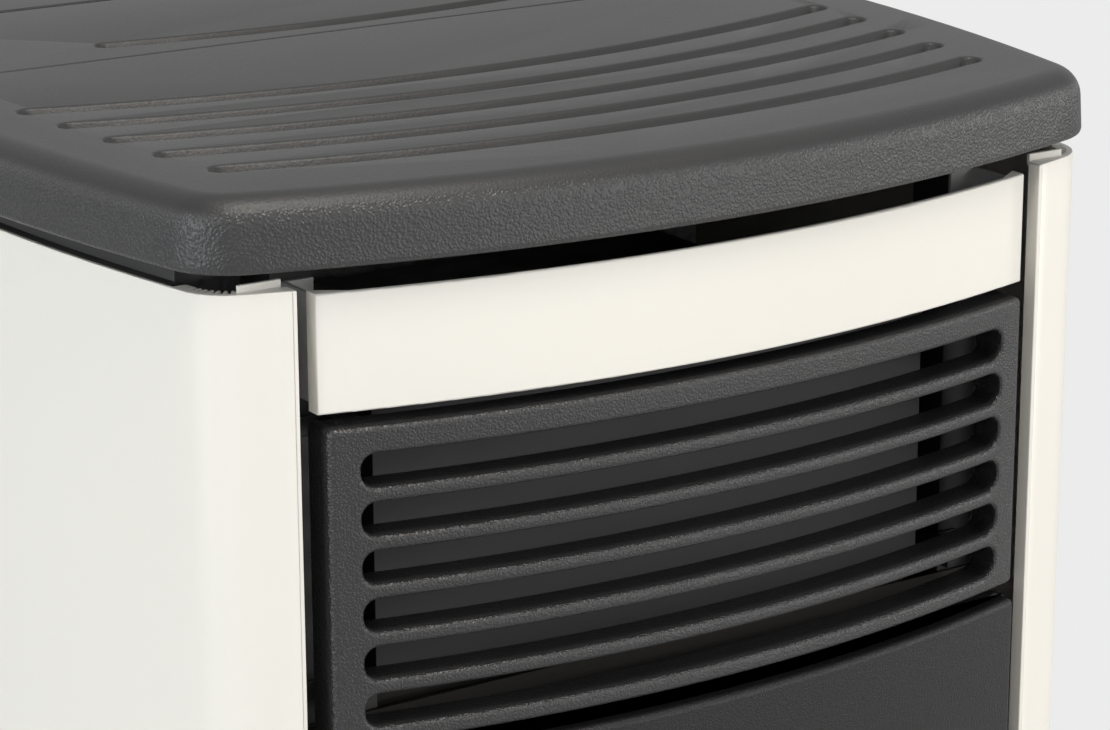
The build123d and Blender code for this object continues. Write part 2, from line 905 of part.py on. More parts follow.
def make_hinge_pins():
    """The two pins on which the door turns."""
    length = hinge_boss_length - 6
    top_z = door_top + hinge_bracket_gap + hinge_bracket_thick
    low_z = door_bottom - hinge_bracket_gap - hinge_bracket_thick
    pins = rod_z(-hinge_x, hinge_depth, door_top - length, top_z, hinge_pin_radius)
    pins += rod_z(-hinge_x, hinge_depth, low_z, door_bottom + length, hinge_pin_radius)
    head = extrude(RegularPolygon(hinge_head_radius, 6), hinge_head)
    for z in (top_z, low_z - hinge_head):
        pins += Pos(-hinge_x, back(hinge_depth), z) * head
    return pins


def make_handle():
    """Door handle: spindle, hub and a hanging grip with a swelling end."""
    hub_back = bow_depth(spindle_x - handle_width / 2 - 2, door_proud) - fit_gap
    grip_front = -handle_reach
    grip_back = grip_front + handle_thick
    spindle = rod_y(spindle_x, hub_back, tongue_depth + tongue_thick, spindle_z, spindle_radius)
    hub = rod_y(spindle_x, grip_front + 2, hub_back, spindle_z, handle_width / 2 + 2)
    plane = Plane(origin=(spindle_x, back(grip_front), spindle_z), x_dir=(1, 0, 0), z_dir=(0, 1, 0))
    half = handle_width / 2
    tip = half + 3
    side = Polyline((-half, 0), (-half + 2, handle_length / 2), (-tip, handle_length))
    end = ThreePointArc((-tip, handle_length), (0, handle_length + tip), (tip, handle_length))
    other = Polyline((tip, handle_length), (half - 2, handle_length / 2), (half, 0))
    head = ThreePointArc((half, 0), (0, -half), (-half, 0))
    outline = make_face(Wire(side.edges() + [end] + other.edges() + [head]))
    grip = extrude(plane * outline, grip_back - grip_front)
    grip = chamfer(grip.edges().filter_by(GeomType.LINE, reverse=True).group_by(Axis.Y)[0], 2)
    return spindle + hub + grip


def make_tongue():
    """Latch tongue on the spindle's end; at rest it stands clear of the keeper."""
    plane = Plane(origin=(spindle_x, back(tongue_depth), spindle_z), x_dir=(1, 0, 0), z_dir=(0, -1, 0))
    shape = Pos(tongue_length / 2, 0) * Rectangle(tongue_length, tongue_width)
    shape += Circle(tongue_width / 2 + 4)
    shape -= Circle(spindle_radius)
    shape = Rot(0, 0, tongue_rest_angle) * shape
    return extrude(plane * shape, -tongue_thick)


def make_keeper():
    """Hooked keeper beside the door; the latched tongue lies behind its lip."""
    z0 = spindle_z - keeper_half_height
    z1 = spindle_z + keeper_half_height
    web = block(keeper_outer_x - sheet, keeper_outer_x, keeper_lip_depth, surround_front, z0, z1)
    lip = block(keeper_inner_x, keeper_outer_x, keeper_lip_depth, keeper_lip_depth + keeper_lip_thick,
                z0, z1)
    foot = block(keeper_inner_x, keeper_outer_x, surround_front - sheet, surround_front, z0, z1)
    return web + lip + foot


def make_surround():
    """Sheet frame round the firebox mouth, with the hinge arms welded on."""
    half = post_inner_x + post_width
    frame = block(-half, half, surround_front, surround_back, door_bottom - 6, door_top + 6)
    inner = firebox_half_width + fit_gap
    frame -= block(-inner, inner, surround_front - 1, surround_back + 1, firebox_bottom - fit_gap,
                   firebox_top + fit_gap)
    return frame + hinge_brackets()


def make_drawer_front():
    """Bowed cast front of the ash drawer, hollow behind, with a finger slot."""
    z0 = drawer_front_bottom
    front = hollow_casting(z0, drawer_front_top)
    front -= bowed_slab(door_half_width - door_skin, door_proud - door_skin, door_back_depth + 5,
                        z0 + door_skin, drawer_front_top - door_skin)
    z = drawer_front_top - grip_drop
    return front - front_window(grip_half_width, z - grip_height / 2, z + grip_height / 2,
                                grip_height / 2 - 0.5, -60, 60)


def make_drawer_box():
    """Open sheet box of the ash drawer, on a plate fixed to the casting's back."""
    d0 = door_back_depth
    box = block(-drawer_half_width, drawer_half_width, d0, d0 + drawer_length, drawer_bottom, drawer_top)
    box -= block(-drawer_half_width + sheet, drawer_half_width - sheet, d0 + sheet,
                 d0 + drawer_length - sheet, drawer_bottom + sheet, drawer_top + 1)
    half = door_half_width - drawer_plate_margin
    z0 = drawer_front_bottom + drawer_plate_margin
    z1 = drawer_front_top - drawer_plate_margin
    plate = block(-half, half, d0, d0 + sheet, z0, z1)
    z = drawer_front_top - grip_drop
    hand = block(-grip_half_width, grip_half_width, d0 - 1, d0 + sheet + 1, z - grip_height / 2, z1 + 1)
    return box + plate - hand


def drawer_rails():
    """Two rails under and beside the ash drawer."""
    z1 = drawer_bottom - fit_gap
    x1 = runner_half_span
    rail = block(x1 - runner_width, x1, front_post_depth, door_back_depth + drawer_length,
                 z1 - runner_height, z1)
    guide = block(drawer_half_width + fit_gap, x1, front_post_depth, door_back_depth + drawer_length,
                  z1, z1 + 14)
    return rail + guide


def make_base_tray():
    """Base: floor sheet with an upturned lip and four welded nuts for the feet."""
    inset = panel_rim + fit_gap
    rear = body_depth - inset
    outline = body_outline(-inset, -base_front_inset, rear, base_corner, base_rear_corner)
    hollow = body_outline(-inset - sheet, -base_front_inset - sheet, rear - sheet,
                          base_corner - sheet, base_rear_corner - sheet)
    tray = extrude(Pos(0, 0, base_bottom) * outline, base_thick + base_lip)
    tray -= extrude(Pos(0, 0, base_top) * hollow, base_lip)
    for x, depth in foot_places():
        hexagon = RegularPolygon(nut_flats / 2, 6, major_radius=False)
        tray += extrude(Pos(x, back(depth), base_top) * hexagon, nut_height)
        tray -= rod_z(x, depth, base_bottom - 1, base_top + nut_height + 1,
                      stud_radius + stud_clearance)
    return tray


def foot_places():
    """X and depth of the four levelling feet, front pair first."""
    return [(-foot_x, foot_front_depth), (foot_x, foot_front_depth),
            (-foot_x, foot_rear_depth), (foot_x, foot_rear_depth)]


def make_foot(x, depth):
    """One levelling foot: a broad pad with a threaded stud, drawn plain."""
    foot = rod_z(x, depth, 0, foot_height, foot_radius)
    return foot + rod_z(x, depth, foot_height, stud_top, stud_radius)


def channel(x0, x1, d0, d1, z0, z1, wall):
    """An upright channel, open towards the back."""
    return block(x0, x1, d0, d1, z0, z1) - block(x0 + wall, x1 - wall, d0 + wall, d1 + 1, z0, z1)


def make_posts():
    """Four folded posts from the base to the top frame, two beside the firebox, two at the back."""
    places = ((post_inner_x, front_post_depth), (rear_post_inner_x, rear_post_depth))
    posts = None
    for x, depth in places:
        post = channel(x, x + post_width, depth, depth + post_depth, base_top, frame_bottom, sheet)
        pair = both_sides(post)
        posts = pair if posts is None else posts + pair
    return posts


def make_top_frame():
    """Flat frame under the cast top, with the opening for the hopper and a flange at each side."""
    rear = body_depth + plate_rear_overhang - plate_wall - frame_rear_gap
    outline = body_outline(-fit_gap - flange_width, -frame_front_inset, rear, base_corner,
                           base_rear_corner)
    frame = extrude(Pos(0, 0, frame_bottom) * outline, frame_thick) + frame_flanges()
    return frame - block(-hopper_half_width - fit_gap, hopper_half_width + fit_gap,
                         hopper_front - fit_gap, hopper_back + fit_gap, frame_bottom - 1,
                         frame_top + 1)


def frame_flanges():
    """Stepped flanges that hang from the frame's sides and lie along the side panels' edges."""
    inset = sheet + fit_gap
    z0 = panel_top - sheet
    flange = panel_ring(inset, flange_width, z0, panel_top)
    flange += panel_ring(inset + flange_width - sheet, sheet, z0, frame_bottom)
    return flange & block(-body_half_width, body_half_width, flange_front,
                          body_depth - flange_rear_inset, z0, frame_bottom)


def make_stand():
    """Two stepped side plates that carry the firebox, with the drawer's rails welded on."""
    x0 = runner_half_span
    long_end = door_back_depth + drawer_length + 6
    step = drawer_top + 6
    points = [(front_post_depth, base_top), (long_end, base_top), (long_end, step),
              (firebox_back, step), (firebox_back, firebox_bottom), (front_post_depth, firebox_bottom)]
    plane = Plane(origin=(x0, back(0), 0), x_dir=(0, 1, 0), z_dir=(1, 0, 0))
    plate = extrude(plane * make_face(Polyline(*points, close=True)), stand_thick)
    return both_sides(plate + drawer_rails())


def pellet_path(radius, beyond):
    """A cylinder along the auger's axis, through the firebox's back."""
    return auger_rod(-beyond, auger_length() + 60, radius)


def rear_wall_holes():
    """Cutters through the firebox's back and the bulkhead for the igniter and the air pipe."""
    igniter = rod_y(0, firebox_back - 10, bulkhead_back + 5, igniter_z, igniter_radius + igniter_gap)
    air = rod_y(intake_x, firebox_back - 10, bulkhead_back + 5, intake_z, intake_radius - flue_wall)
    return igniter + air


def make_bulkhead():
    """Upright sheet behind the firebox that carries the fans and the board."""
    z0 = drawer_top + 8
    sheet_plate = block(-bulkhead_half_width, bulkhead_half_width, bulkhead_front, bulkhead_back, z0,
                        firebox_top)
    sheet_plate -= pellet_path(auger_tube_radius - auger_tube_wall, 0)
    return sheet_plate - rear_wall_holes()


def make_firebox():
    """Firebox welded from steel: bars round the mouth, back, floor, top, sides, hearth ledges."""
    half = firebox_half_width
    margin = firebox_mouth_margin
    wall = firebox_wall
    d0 = firebox_front + wall
    d1 = firebox_back - wall
    z0 = firebox_bottom + wall
    z1 = firebox_top - wall
    side = block(half - wall, half, d0, d1, z0, z1)
    ledge_top = hearth_top - hearth_thick
    ledge = block(half - 18, half - wall, firebox_front + 12, firebox_back - 12, ledge_top - 6, ledge_top)
    chute = Pos(0, back(pot_depth), firebox_bottom) * Rectangle(
        2 * chute_half_width, 2 * chute_half_depth)
    plates = [
        block(-half, half, firebox_front, d0, firebox_bottom, firebox_bottom + margin),
        block(-half, half, firebox_front, d0, firebox_top - margin, firebox_top),
        both_sides(block(half - margin, half, firebox_front, d0, firebox_bottom + margin,
                         firebox_top - margin)),
        block(-half, half, d1, firebox_back, firebox_bottom, firebox_top) - rear_wall_holes()
        - pellet_path(auger_tube_radius - auger_tube_wall, 0),
        block(-half, half, d0, d1, firebox_bottom, z0) - extrude(chute, wall),
        block(-half, half, d0, d1, z1, firebox_top),
        both_sides(side),
        both_sides(ledge),
    ]
    return Compound([solid for plate in plates for solid in plate.solids()])


def make_liner():
    """Cast back lining of the firebox with upright ribs and the pellet opening."""
    half = firebox_half_width - firebox_wall - fit_gap
    rear = firebox_back - firebox_wall - fit_gap
    z0 = hearth_top + fit_gap
    z1 = firebox_top - firebox_wall - fit_gap
    liner = block(-half, half, rear - liner_thick, rear, z0, z1)
    pitch = 2 * (half - 12) / (liner_rib_count - 1)
    for index in range(liner_rib_count):
        x = -half + 12 + index * pitch
        front = back(rear - liner_thick)
        base = Polyline((x - 5, front), (x + 5, front), (x + 2.5, front - liner_rib),
                        (x - 2.5, front - liner_rib), close=True)
        liner += extrude(Pos(0, 0, z0 + 20) * make_face(base), z1 - z0 - 40)
    return liner - pellet_path(auger_tube_radius - auger_tube_wall, 0)


def pot_half_at(z):
    """Half width and half depth of the burn pot's outside at a level, from its draw."""
    drawn = pot_draw * (pot_top - z) / (pot_top - pot_bottom)
    return pot_half_width - drawn, pot_half_depth - drawn


def make_hearth():
    """Cast hearth plate with the seat for the burn pot."""
    half = firebox_half_width - firebox_wall - fit_gap
    rear = firebox_back - firebox_wall - fit_gap
    plate = block(-half, half, firebox_front + firebox_wall + fit_gap, rear, hearth_top - hearth_thick,
                  hearth_top)
    across, along = pot_half_at(hearth_top)
    seat = Pos(0, back(pot_depth), hearth_top - hearth_thick) * RectangleRounded(
        2 * across + 3, 2 * along + 3, 2)
    return plate - extrude(seat, hearth_thick)


def make_burn_pot():
    """Cast burn pot: drawn cup with a seating rim and a slotted floor."""
    def level(z, inset):
        across, along = pot_half_at(z)
        return Pos(0, back(pot_depth), z) * Rectangle(2 * (across - inset), 2 * (along - inset))
    cup = loft([level(pot_bottom, 0), level(pot_top, 0)], ruled=True)
    across, along = pot_half_at(hearth_top)
    rim = Pos(0, back(pot_depth), hearth_top) * RectangleRounded(
        2 * (across + pot_rim), 2 * (along + pot_rim), pot_rim)
    cup += extrude(rim, pot_rim_thick)
    cup -= loft([level(pot_bottom + pot_wall, pot_wall), level(pot_top + 0.01, pot_wall)], ruled=True)
    slot = Box(pot_slot_width, pot_slot_length, 4 * pot_wall)
    for place in GridLocations(pot_slot_pitch, 1, 4, 1):
        cup -= Pos(0, back(pot_depth), pot_bottom) * place * slot
    return cup


def make_igniter():
    """Cartridge heater through the firebox's back, ending behind the burn pot."""
    front = pot_depth + pot_half_depth + 6
    rod = rod_y(0, front, bulkhead_back + 24, igniter_z, igniter_radius)
    return rod + rod_y(0, bulkhead_back, bulkhead_back + 5, igniter_z, igniter_radius + 6)


def tube_places():
    """X and Z of the exchanger tubes."""
    places = []
    mid_z = firebox_top + exchanger_height / 2
    for row in range(tube_rows):
        for column in range(tube_columns):
            x = (column - (tube_columns - 1) / 2) * tube_pitch_x
            places.append((x, mid_z + (row - (tube_rows - 1) / 2) * tube_pitch_z))
    return places


def make_exchanger():
    """Heat exchanger: sheet case on the firebox with air tubes welded through its two ends."""
    half = exchanger_half_width
    case = block(-half, half, exchanger_front, firebox_back, firebox_top, exchanger_top)
    wall = exchanger_plate
    case -= block(-half + wall, half - wall, exchanger_front + wall, firebox_back - wall,
                  firebox_top - 1, exchanger_top - wall)
    for x, z in tube_places():
        case += rod_y(x, exchanger_front, firebox_back, z, tube_radius)
        case -= rod_y(x, exchanger_front - 1, firebox_back + 1, z, tube_radius - tube_wall)
    return case


def hopper_level(z, half, d0, d1):
    """A rectangular section of the hopper at one level."""
    return Pos(0, back((d0 + d1) / 2), z) * Rectangle(2 * half, d1 - d0)


def hopper_funnel(inset):
    """The hopper's tapering part, between its knee and its outlet."""
    top = hopper_level(hopper_knee, hopper_half_width - inset, hopper_front + inset,
                       hopper_back - inset)
    d0 = hopper_outlet_depth - hopper_outlet_half_depth + inset
    d1 = hopper_outlet_depth + hopper_outlet_half_depth - inset
    low = hopper_level(hopper_outlet_z - (0.01 if inset else 0), hopper_outlet_half - inset, d0, d1)
    return loft([low, top], ruled=True)


def hopper_walls():
    """The hopper's four straight walls, with their lip and the flange that hangs in the frame."""
    half = hopper_half_width
    ring = block(-half, half, hopper_front, hopper_back, hopper_knee, hopper_rim)
    lip = hopper_lip / 2
    ring += block(-half - lip, half + lip, hopper_front - lip, hopper_back + lip, hopper_rim - sheet,
                  hopper_rim)
    ring += block(-half - 10, half + 10, hopper_front - 4, hopper_back + 4, frame_top,
                  frame_top + sheet)
    inner = half - sheet
    ring -= block(-inner, inner, hopper_front + sheet, hopper_back - sheet, hopper_knee, hopper_rim)
    between = block(-inner, inner, 0, body_depth, hopper_knee, hopper_rim)
    return (ring & between).solids() + (ring - between).solids()


def hopper_plates():
    """The funnel's four sloping plates, cut to the auger tube."""
    shell = hopper_funnel(0) - hopper_funnel(sheet)
    shell -= auger_rod(-20, auger_length() + 20, auger_tube_radius)
    low = hopper_level(hopper_outlet_z - 0.01, hopper_outlet_half - sheet, 0, body_depth)
    top = hopper_level(hopper_knee, hopper_half_width - sheet, 0, body_depth)
    between = loft([low, top], ruled=True)
    return (shell & between).solids() + (shell - between).solids()


def make_hopper():
    """Hopper welded from sheet: straight upper walls and a funnel down to the auger's inlet."""
    return Compound(hopper_walls() + hopper_plates())


def auger_length():
    """Distance along the auger's axis from its low end to its high end."""
    return sqrt((auger_low_depth - auger_high_depth) ** 2 + (auger_high_z - auger_low_z) ** 2)


def auger_plane():
    """A plane at the auger's low end, with its normal along the auger's axis."""
    axis = (0, auger_high_depth - auger_low_depth, auger_high_z - auger_low_z)
    return Plane(origin=(0, back(auger_low_depth), auger_low_z), x_dir=(1, 0, 0), z_dir=axis)


def auger_rod(start, end, radius):
    """A cylinder on the auger's axis between two distances from its low end."""
    return auger_plane() * Pos(0, 0, (start + end) / 2) * Cylinder(radius, end - start)


def make_auger_tube():
    """Auger tube with a capped low end, an inlet on top and a high end cut at the bulkhead."""
    reach = auger_length() + 40
    tube = auger_rod(-auger_cap, reach, auger_tube_radius)
    tube -= auger_rod(0, reach + 1, auger_tube_radius - auger_tube_wall)
    tube -= auger_rod(-auger_cap - 1, 1, auger_shaft_radius + auger_clearance)
    half = 2 * auger_tube_radius
    tube -= block(-half, half, 0, bulkhead_back + fit_gap, auger_low_z, exchanger_top)
    d0 = hopper_outlet_depth - hopper_outlet_half_depth + sheet
    d1 = hopper_outlet_depth + hopper_outlet_half_depth - sheet
    half = hopper_outlet_half - sheet
    return tube - block(-half + 8, half - 8, d0 + 6, d1 - 6, auger_low_z + 12, auger_low_z + 120)


def make_auger_screw():
    """Auger screw: a shaft with one continuous helical flight."""
    flight_length = auger_length() - 14
    shaft = Pos(0, 0, (flight_length - 16) / 2) * Cylinder(auger_shaft_radius, flight_length + 16)
    middle = (auger_flight_radius + auger_shaft_radius - 1) / 2
    path = Pos(0, 0, 4) * Helix(auger_pitch, flight_length - 8, middle)
    width = auger_flight_radius - auger_shaft_radius + 1
    profile = Plane(origin=path @ 0, z_dir=path % 0, x_dir=(1, 0, 0)) * Rectangle(
        width, auger_flight_thick)
    flight = sweep(profile, path=path, is_frenet=True)
    return auger_plane() * (shaft + flight)


def make_gearmotor():
    """Gearbox and motor on the auger's low end."""
    box = Pos(0, 0, -auger_cap - gearbox_length / 2) * Box(gearbox_size, gearbox_size, gearbox_length)
    box = chamfer(box.edges().filter_by(Axis.Z), 6)
    can_z = -auger_cap - gearbox_length - gearmotor_length / 2
    motor = box + Pos(0, 0, can_z) * Cylinder(gearmotor_radius, gearmotor_length)
    motor -= Pos(0, 0, -auger_cap) * Cylinder(auger_shaft_radius + auger_clearance, 28)
    return auger_plane() * motor


def make_exhaust_housing():
    """Exhaust fan casing: round volute with an outlet towards the flue."""
    half = exhaust_half_width
    end = body_depth - 11
    case = rod_x(-half, half, exhaust_depth, exhaust_z, exhaust_radius)
    case += rod_y(0, exhaust_depth, end, exhaust_z, flue_radius)
    case -= rod_x(-half + exhaust_wall, half - exhaust_wall, exhaust_depth, exhaust_z,
                  exhaust_radius - exhaust_wall)
    case -= rod_y(0, exhaust_depth, end + 1, exhaust_z, flue_radius - exhaust_wall)
    case -= rod_x(half - 10, half + 1, exhaust_depth, exhaust_z, fan_shaft_radius + fan_clearance)
    duct = block(-half - 60, -half, bulkhead_back, exhaust_depth + 30, drawer_top + 8, exhaust_z + 30)
    return case + duct


def make_impeller():
    """Exhaust impeller: back plate, curved-back blades, hub and shaft."""
    half = exhaust_half_width - exhaust_wall
    x_plate = half - 12
    impeller = rod_x(x_plate, x_plate + 3, exhaust_depth, exhaust_z, impeller_radius)
    impeller += rod_x(x_plate - 26, x_plate, exhaust_depth, exhaust_z, impeller_hub_radius)
    shaft_end = exhaust_half_width + 30
    impeller += rod_x(x_plate, shaft_end, exhaust_depth, exhaust_z, fan_shaft_radius)
    width = x_plate + half
    middle = (impeller_radius + impeller_hub_radius) / 2 - 2
    span = impeller_radius - impeller_hub_radius + 2
    blade = Pos(x_plate - width / 3, 0, middle) * Rot(blade_lean, 0, 0) * Box(
        2 * width / 3, blade_thick, span)
    for index in range(impeller_blades):
        turned = Rot(index * 360 / impeller_blades, 0, 0) * blade
        impeller += Pos(0, back(exhaust_depth), exhaust_z) * turned
    return impeller


def make_exhaust_motor():
    """Motor on the side of the exhaust casing."""
    x0 = exhaust_half_width
    motor = rod_x(x0, x0 + exhaust_motor_length, exhaust_depth, exhaust_z, exhaust_motor_radius)
    return motor - rod_x(x0 - 1, x0 + 34, exhaust_depth, exhaust_z, fan_shaft_radius + fan_clearance)


def make_flue_collar():
    """Round flue outlet with a square flange inside the rear panel."""
    end = body_depth + collar_reach
    inner = body_depth - 11
    collar = rod_y(0, inner, end, exhaust_z, flue_radius)
    plate = block(-collar_flange, collar_flange, body_depth - sheet - fit_gap,
                  body_depth - fit_gap, exhaust_z - collar_flange, exhaust_z + collar_flange)
    collar += plate
    return collar - rod_y(0, inner - 1, end + 1, exhaust_z, flue_radius - flue_wall)


def make_intake():
    """Combustion air pipe from the rear panel to the firebox's lower chamber."""
    start = bulkhead_back + fit_gap
    end = body_depth + intake_reach
    pipe = rod_y(intake_x, start, end, intake_z, intake_radius)
    pipe += block(intake_x - intake_flange, intake_x + intake_flange,
                  body_depth - sheet - fit_gap, body_depth - fit_gap,
                  intake_z - intake_flange, intake_z + intake_flange)
    return pipe - rod_y(intake_x, start - 1, end + 1, intake_z, intake_radius - flue_wall)


def make_room_fan_housing():
    """Cross-flow fan casing with a duct to the bulkhead."""
    radius = room_wheel_radius + room_wheel_gap
    d1 = room_fan_depth + radius + room_fan_wall
    z0 = room_fan_z - radius - room_fan_wall
    z1 = room_fan_z + radius + room_fan_wall
    case = rod_x(room_fan_left, room_fan_right, room_fan_depth, room_fan_z, radius + room_fan_wall)
    case += block(room_fan_left, room_fan_right, bulkhead_back, room_fan_depth, z0, room_fan_z)
    inner_left = room_fan_left + room_fan_wall
    inner_right = room_fan_right - room_fan_wall
    case -= rod_x(inner_left, inner_right, room_fan_depth, room_fan_z, radius)
    case -= block(inner_left, inner_right, bulkhead_back - 1, room_fan_depth, z0 + room_fan_wall,
                  room_fan_z - room_fan_wall)
    case -= block(inner_left, inner_right, room_fan_depth + 5, d1 + 1, room_fan_z, z1 + 1)
    return case - rod_x(room_fan_left - 1, room_fan_right + 1, room_fan_depth, room_fan_z,
                        fan_shaft_radius + fan_clearance)


def make_room_wheel():
    """Cross-flow wheel: end discs, slender blades and a shaft."""
    x0 = room_fan_left + room_fan_wall + 3
    x1 = room_fan_right - room_fan_wall - 3
    wheel = rod_x(x0, x0 + 3, room_fan_depth, room_fan_z, room_wheel_radius)
    wheel += rod_x(x1 - 3, x1, room_fan_depth, room_fan_z, room_wheel_radius)
    wheel += rod_x(room_fan_left - 8, room_fan_right + 24, room_fan_depth, room_fan_z, fan_shaft_radius)
    blade = Pos((x0 + x1) / 2, 0, room_wheel_radius - 6) * Rot(35, 0, 0) * Box(x1 - x0 - 4, 1.5, 9)
    for index in range(room_wheel_blades):
        turned = Rot(index * 360 / room_wheel_blades, 0, 0) * blade
        wheel += Pos(0, back(room_fan_depth), room_fan_z) * turned
    return wheel


def make_room_fan_motor():
    """Motor on the right end of the room fan."""
    x0 = room_fan_right
    motor = rod_x(x0, x0 + room_fan_motor_length, room_fan_depth, room_fan_z, room_fan_motor_radius)
    return motor - rod_x(x0 - 1, x0 + 28, room_fan_depth, room_fan_z, fan_shaft_radius + fan_clearance)


def make_board():
    """Control board on four standoffs, with its larger components."""
    d0 = bulkhead_back + standoff
    x1 = board_x + board_width
    z1 = board_z + board_height
    board = block(board_x, x1, d0, d0 + board_thick, board_z, z1)
    for x in (board_x + standoff_width, x1 - standoff_width):
        for z in (board_z + standoff_width, z1 - standoff_width):
            half = standoff_width / 2
            board += block(x - half, x + half, bulkhead_back, d0, z - half, z + half)
    rear = d0 + board_thick
    low = board_z + board_margin
    board += block(board_x + board_margin, board_x + board_margin + transformer_size, rear,
                   rear + transformer_depth, low, low + transformer_height)
    board += block(board_x + board_margin, x1 - board_margin, rear, rear + terminal_depth,
                   z1 - board_margin - terminal_height, z1 - board_margin)
    x = x1 - board_margin - capacitor_radius
    for z in (low + capacitor_radius, low + 4 * capacitor_radius):
        board += rod_y(x, rear, rear + capacitor_length, z, capacitor_radius)
    return board


def make_rear_panel():
    """Back sheet with two rows of vents and openings for flue, air, power."""
    half = side_x(body_depth) - rear_panel_margin
    d0 = body_depth
    panel = block(-half, half, d0, rear_face, panel_bottom, plate_bottom - rear_panel_gap)
    panel -= rod_y(0, d0 - 1, rear_face + 1, exhaust_z, flue_radius + 2)
    panel -= rod_y(intake_x, d0 - 1, rear_face + 1, intake_z, intake_radius + 2)
    slot = Box(vent_length, 4 * sheet, vent_height)
    for rise in (vent_low_rise, vent_high_rise):
        for index in range(vent_rows):
            for x in (-vent_x, vent_x):
                panel -= Pos(x, back(d0), firebox_bottom + rise + index * vent_pitch) * slot
    return panel - inlet_body(fit_gap, 8)


def inlet_body(grow, reach):
    """The module body behind the rear panel, which holds the inlet and the switch."""
    x0 = inlet_x - inlet_width / 2 - grow
    x1 = inlet_x + switch_offset + switch_width / 2 + 2 + grow
    z0 = inlet_z - inlet_height / 2 - 2 - grow
    z1 = inlet_z + inlet_height / 2 + 2 + grow
    return block(x0, x1, rear_face - inlet_depth, rear_face + reach, z0, z1)


def make_inlet():
    """Power inlet module: three-pin socket recess and a seat for the rocker switch."""
    module = inlet_body(0, 0)
    x0 = inlet_x - inlet_width / 2 - inlet_flange
    x1 = inlet_x + switch_offset + switch_width / 2 + inlet_flange
    z0 = inlet_z - inlet_height / 2 - inlet_flange
    z1 = inlet_z + inlet_height / 2 + inlet_flange
    module += block(x0, x1, rear_face, rear_face + sheet, z0, z1)
    half = inlet_width / 2 - 3
    module -= block(inlet_x - half, inlet_x + half, rear_face - inlet_depth + 3, rear_face + 3,
                    inlet_z - 8, inlet_z + 8)
    for x, z in ((-7, -2), (7, -2), (0, 3)):
        module += block(inlet_x + x - 1, inlet_x + x + 1, rear_face - inlet_depth + 2, rear_face - 4,
                        inlet_z + z - 2, inlet_z + z + 2)
    x = inlet_x + switch_offset
    module -= block(x - switch_width / 2, x + switch_width / 2, rear_face - 12, rear_face + 3,
                    inlet_z - switch_height / 2, inlet_z + switch_height / 2)
    return module


def make_rocker():
    """Main switch rocker: a shallow vee that tips on its two stub pivots."""
    x = inlet_x + switch_offset
    half = switch_height / 2 - 0.8
    surface = rear_face + sheet
    points = [(surface - 6, -half + 1), (surface - 6, half - 1), (surface - 2.6, half),
              (surface + 1.2, 0), (surface + 0.8, -half)]
    width = switch_width - 0.8
    plane = Plane(origin=(x - width / 2, back(0), inlet_z), x_dir=(0, 1, 0), z_dir=(1, 0, 0))
    rocker = extrude(plane * make_face(Polyline(*points, close=True)), width)
    reach = switch_width / 2 - seat_gap
    return rocker + rod_x(x - reach, x + reach, surface - rocker_pivot_inset, inlet_z, rocker_pivot_radius)


def rear_screw_places():
    """X and Z of the rear panel's screws."""
    x = side_x(body_depth) - panel_rear_flange / 2
    z0 = panel_bottom + 30
    pitch = (panel_top - panel_bottom - 60) / (rear_screw_rows - 1)
    return [(side * x, z0 + row * pitch) for side in (-1, 1) for row in range(rear_screw_rows)]


def make_rear_screws():
    """Screws along the edges of the rear panel."""
    screws = None
    for x, z in rear_screw_places():
        screw = hexagon_head(x, rear_face, z)
        screws = screw if screws is None else screws + screw
    return screws


def make_control_panel():
    """Control panel bezel: flush flange, body through the plate, display seat and button bores."""
    top = stove_height
    half = control_width / 2
    span = control_span / 2
    flange_z = top - control_flange
    panel = block(control_x - half, control_x + half, control_depth - span, control_depth + span,
                  flange_z, top)
    half -= control_body_inset
    span -= control_body_inset
    body_z = flange_z - control_body_depth
    panel += block(control_x - half, control_x + half, control_depth - span, control_depth + span,
                   body_z, flange_z)
    panel -= block(control_x - half + sheet, control_x + half - sheet, control_depth - span + sheet,
                   control_depth + span - sheet, body_z - 1, flange_z - sheet)
    x = control_x + display_offset
    panel -= block(x - display_width / 2, x + display_width / 2, control_depth - display_span / 2,
                   control_depth + display_span / 2, top - display_thick, top + 1)
    for x in button_places():
        panel -= rod_z(x, control_depth, flange_z - 5, top + 1, button_radius + button_clearance)
    return panel


def button_places():
    """X of each push button."""
    return [control_x + button_offset + index * button_pitch - 8 for index in range(button_count)]


def make_display():
    """Display window, flush with the bezel."""
    x = control_x + display_offset
    gap = 0.1
    return block(x - display_width / 2 + gap, x + display_width / 2 - gap,
                 control_depth - display_span / 2 + gap, control_depth + display_span / 2 - gap,
                 stove_height - display_thick, stove_height)


def make_button(x):
    """One push button, held from below by its flange."""
    ceiling = stove_height - control_flange - sheet
    flange_top = ceiling - 0.1
    flange_low = flange_top - button_flange_thick
    cap = rod_z(x, control_depth, flange_low, stove_height + button_proud, button_radius)
    return cap + rod_z(x, control_depth, flange_low, flange_top, button_radius + button_flange)


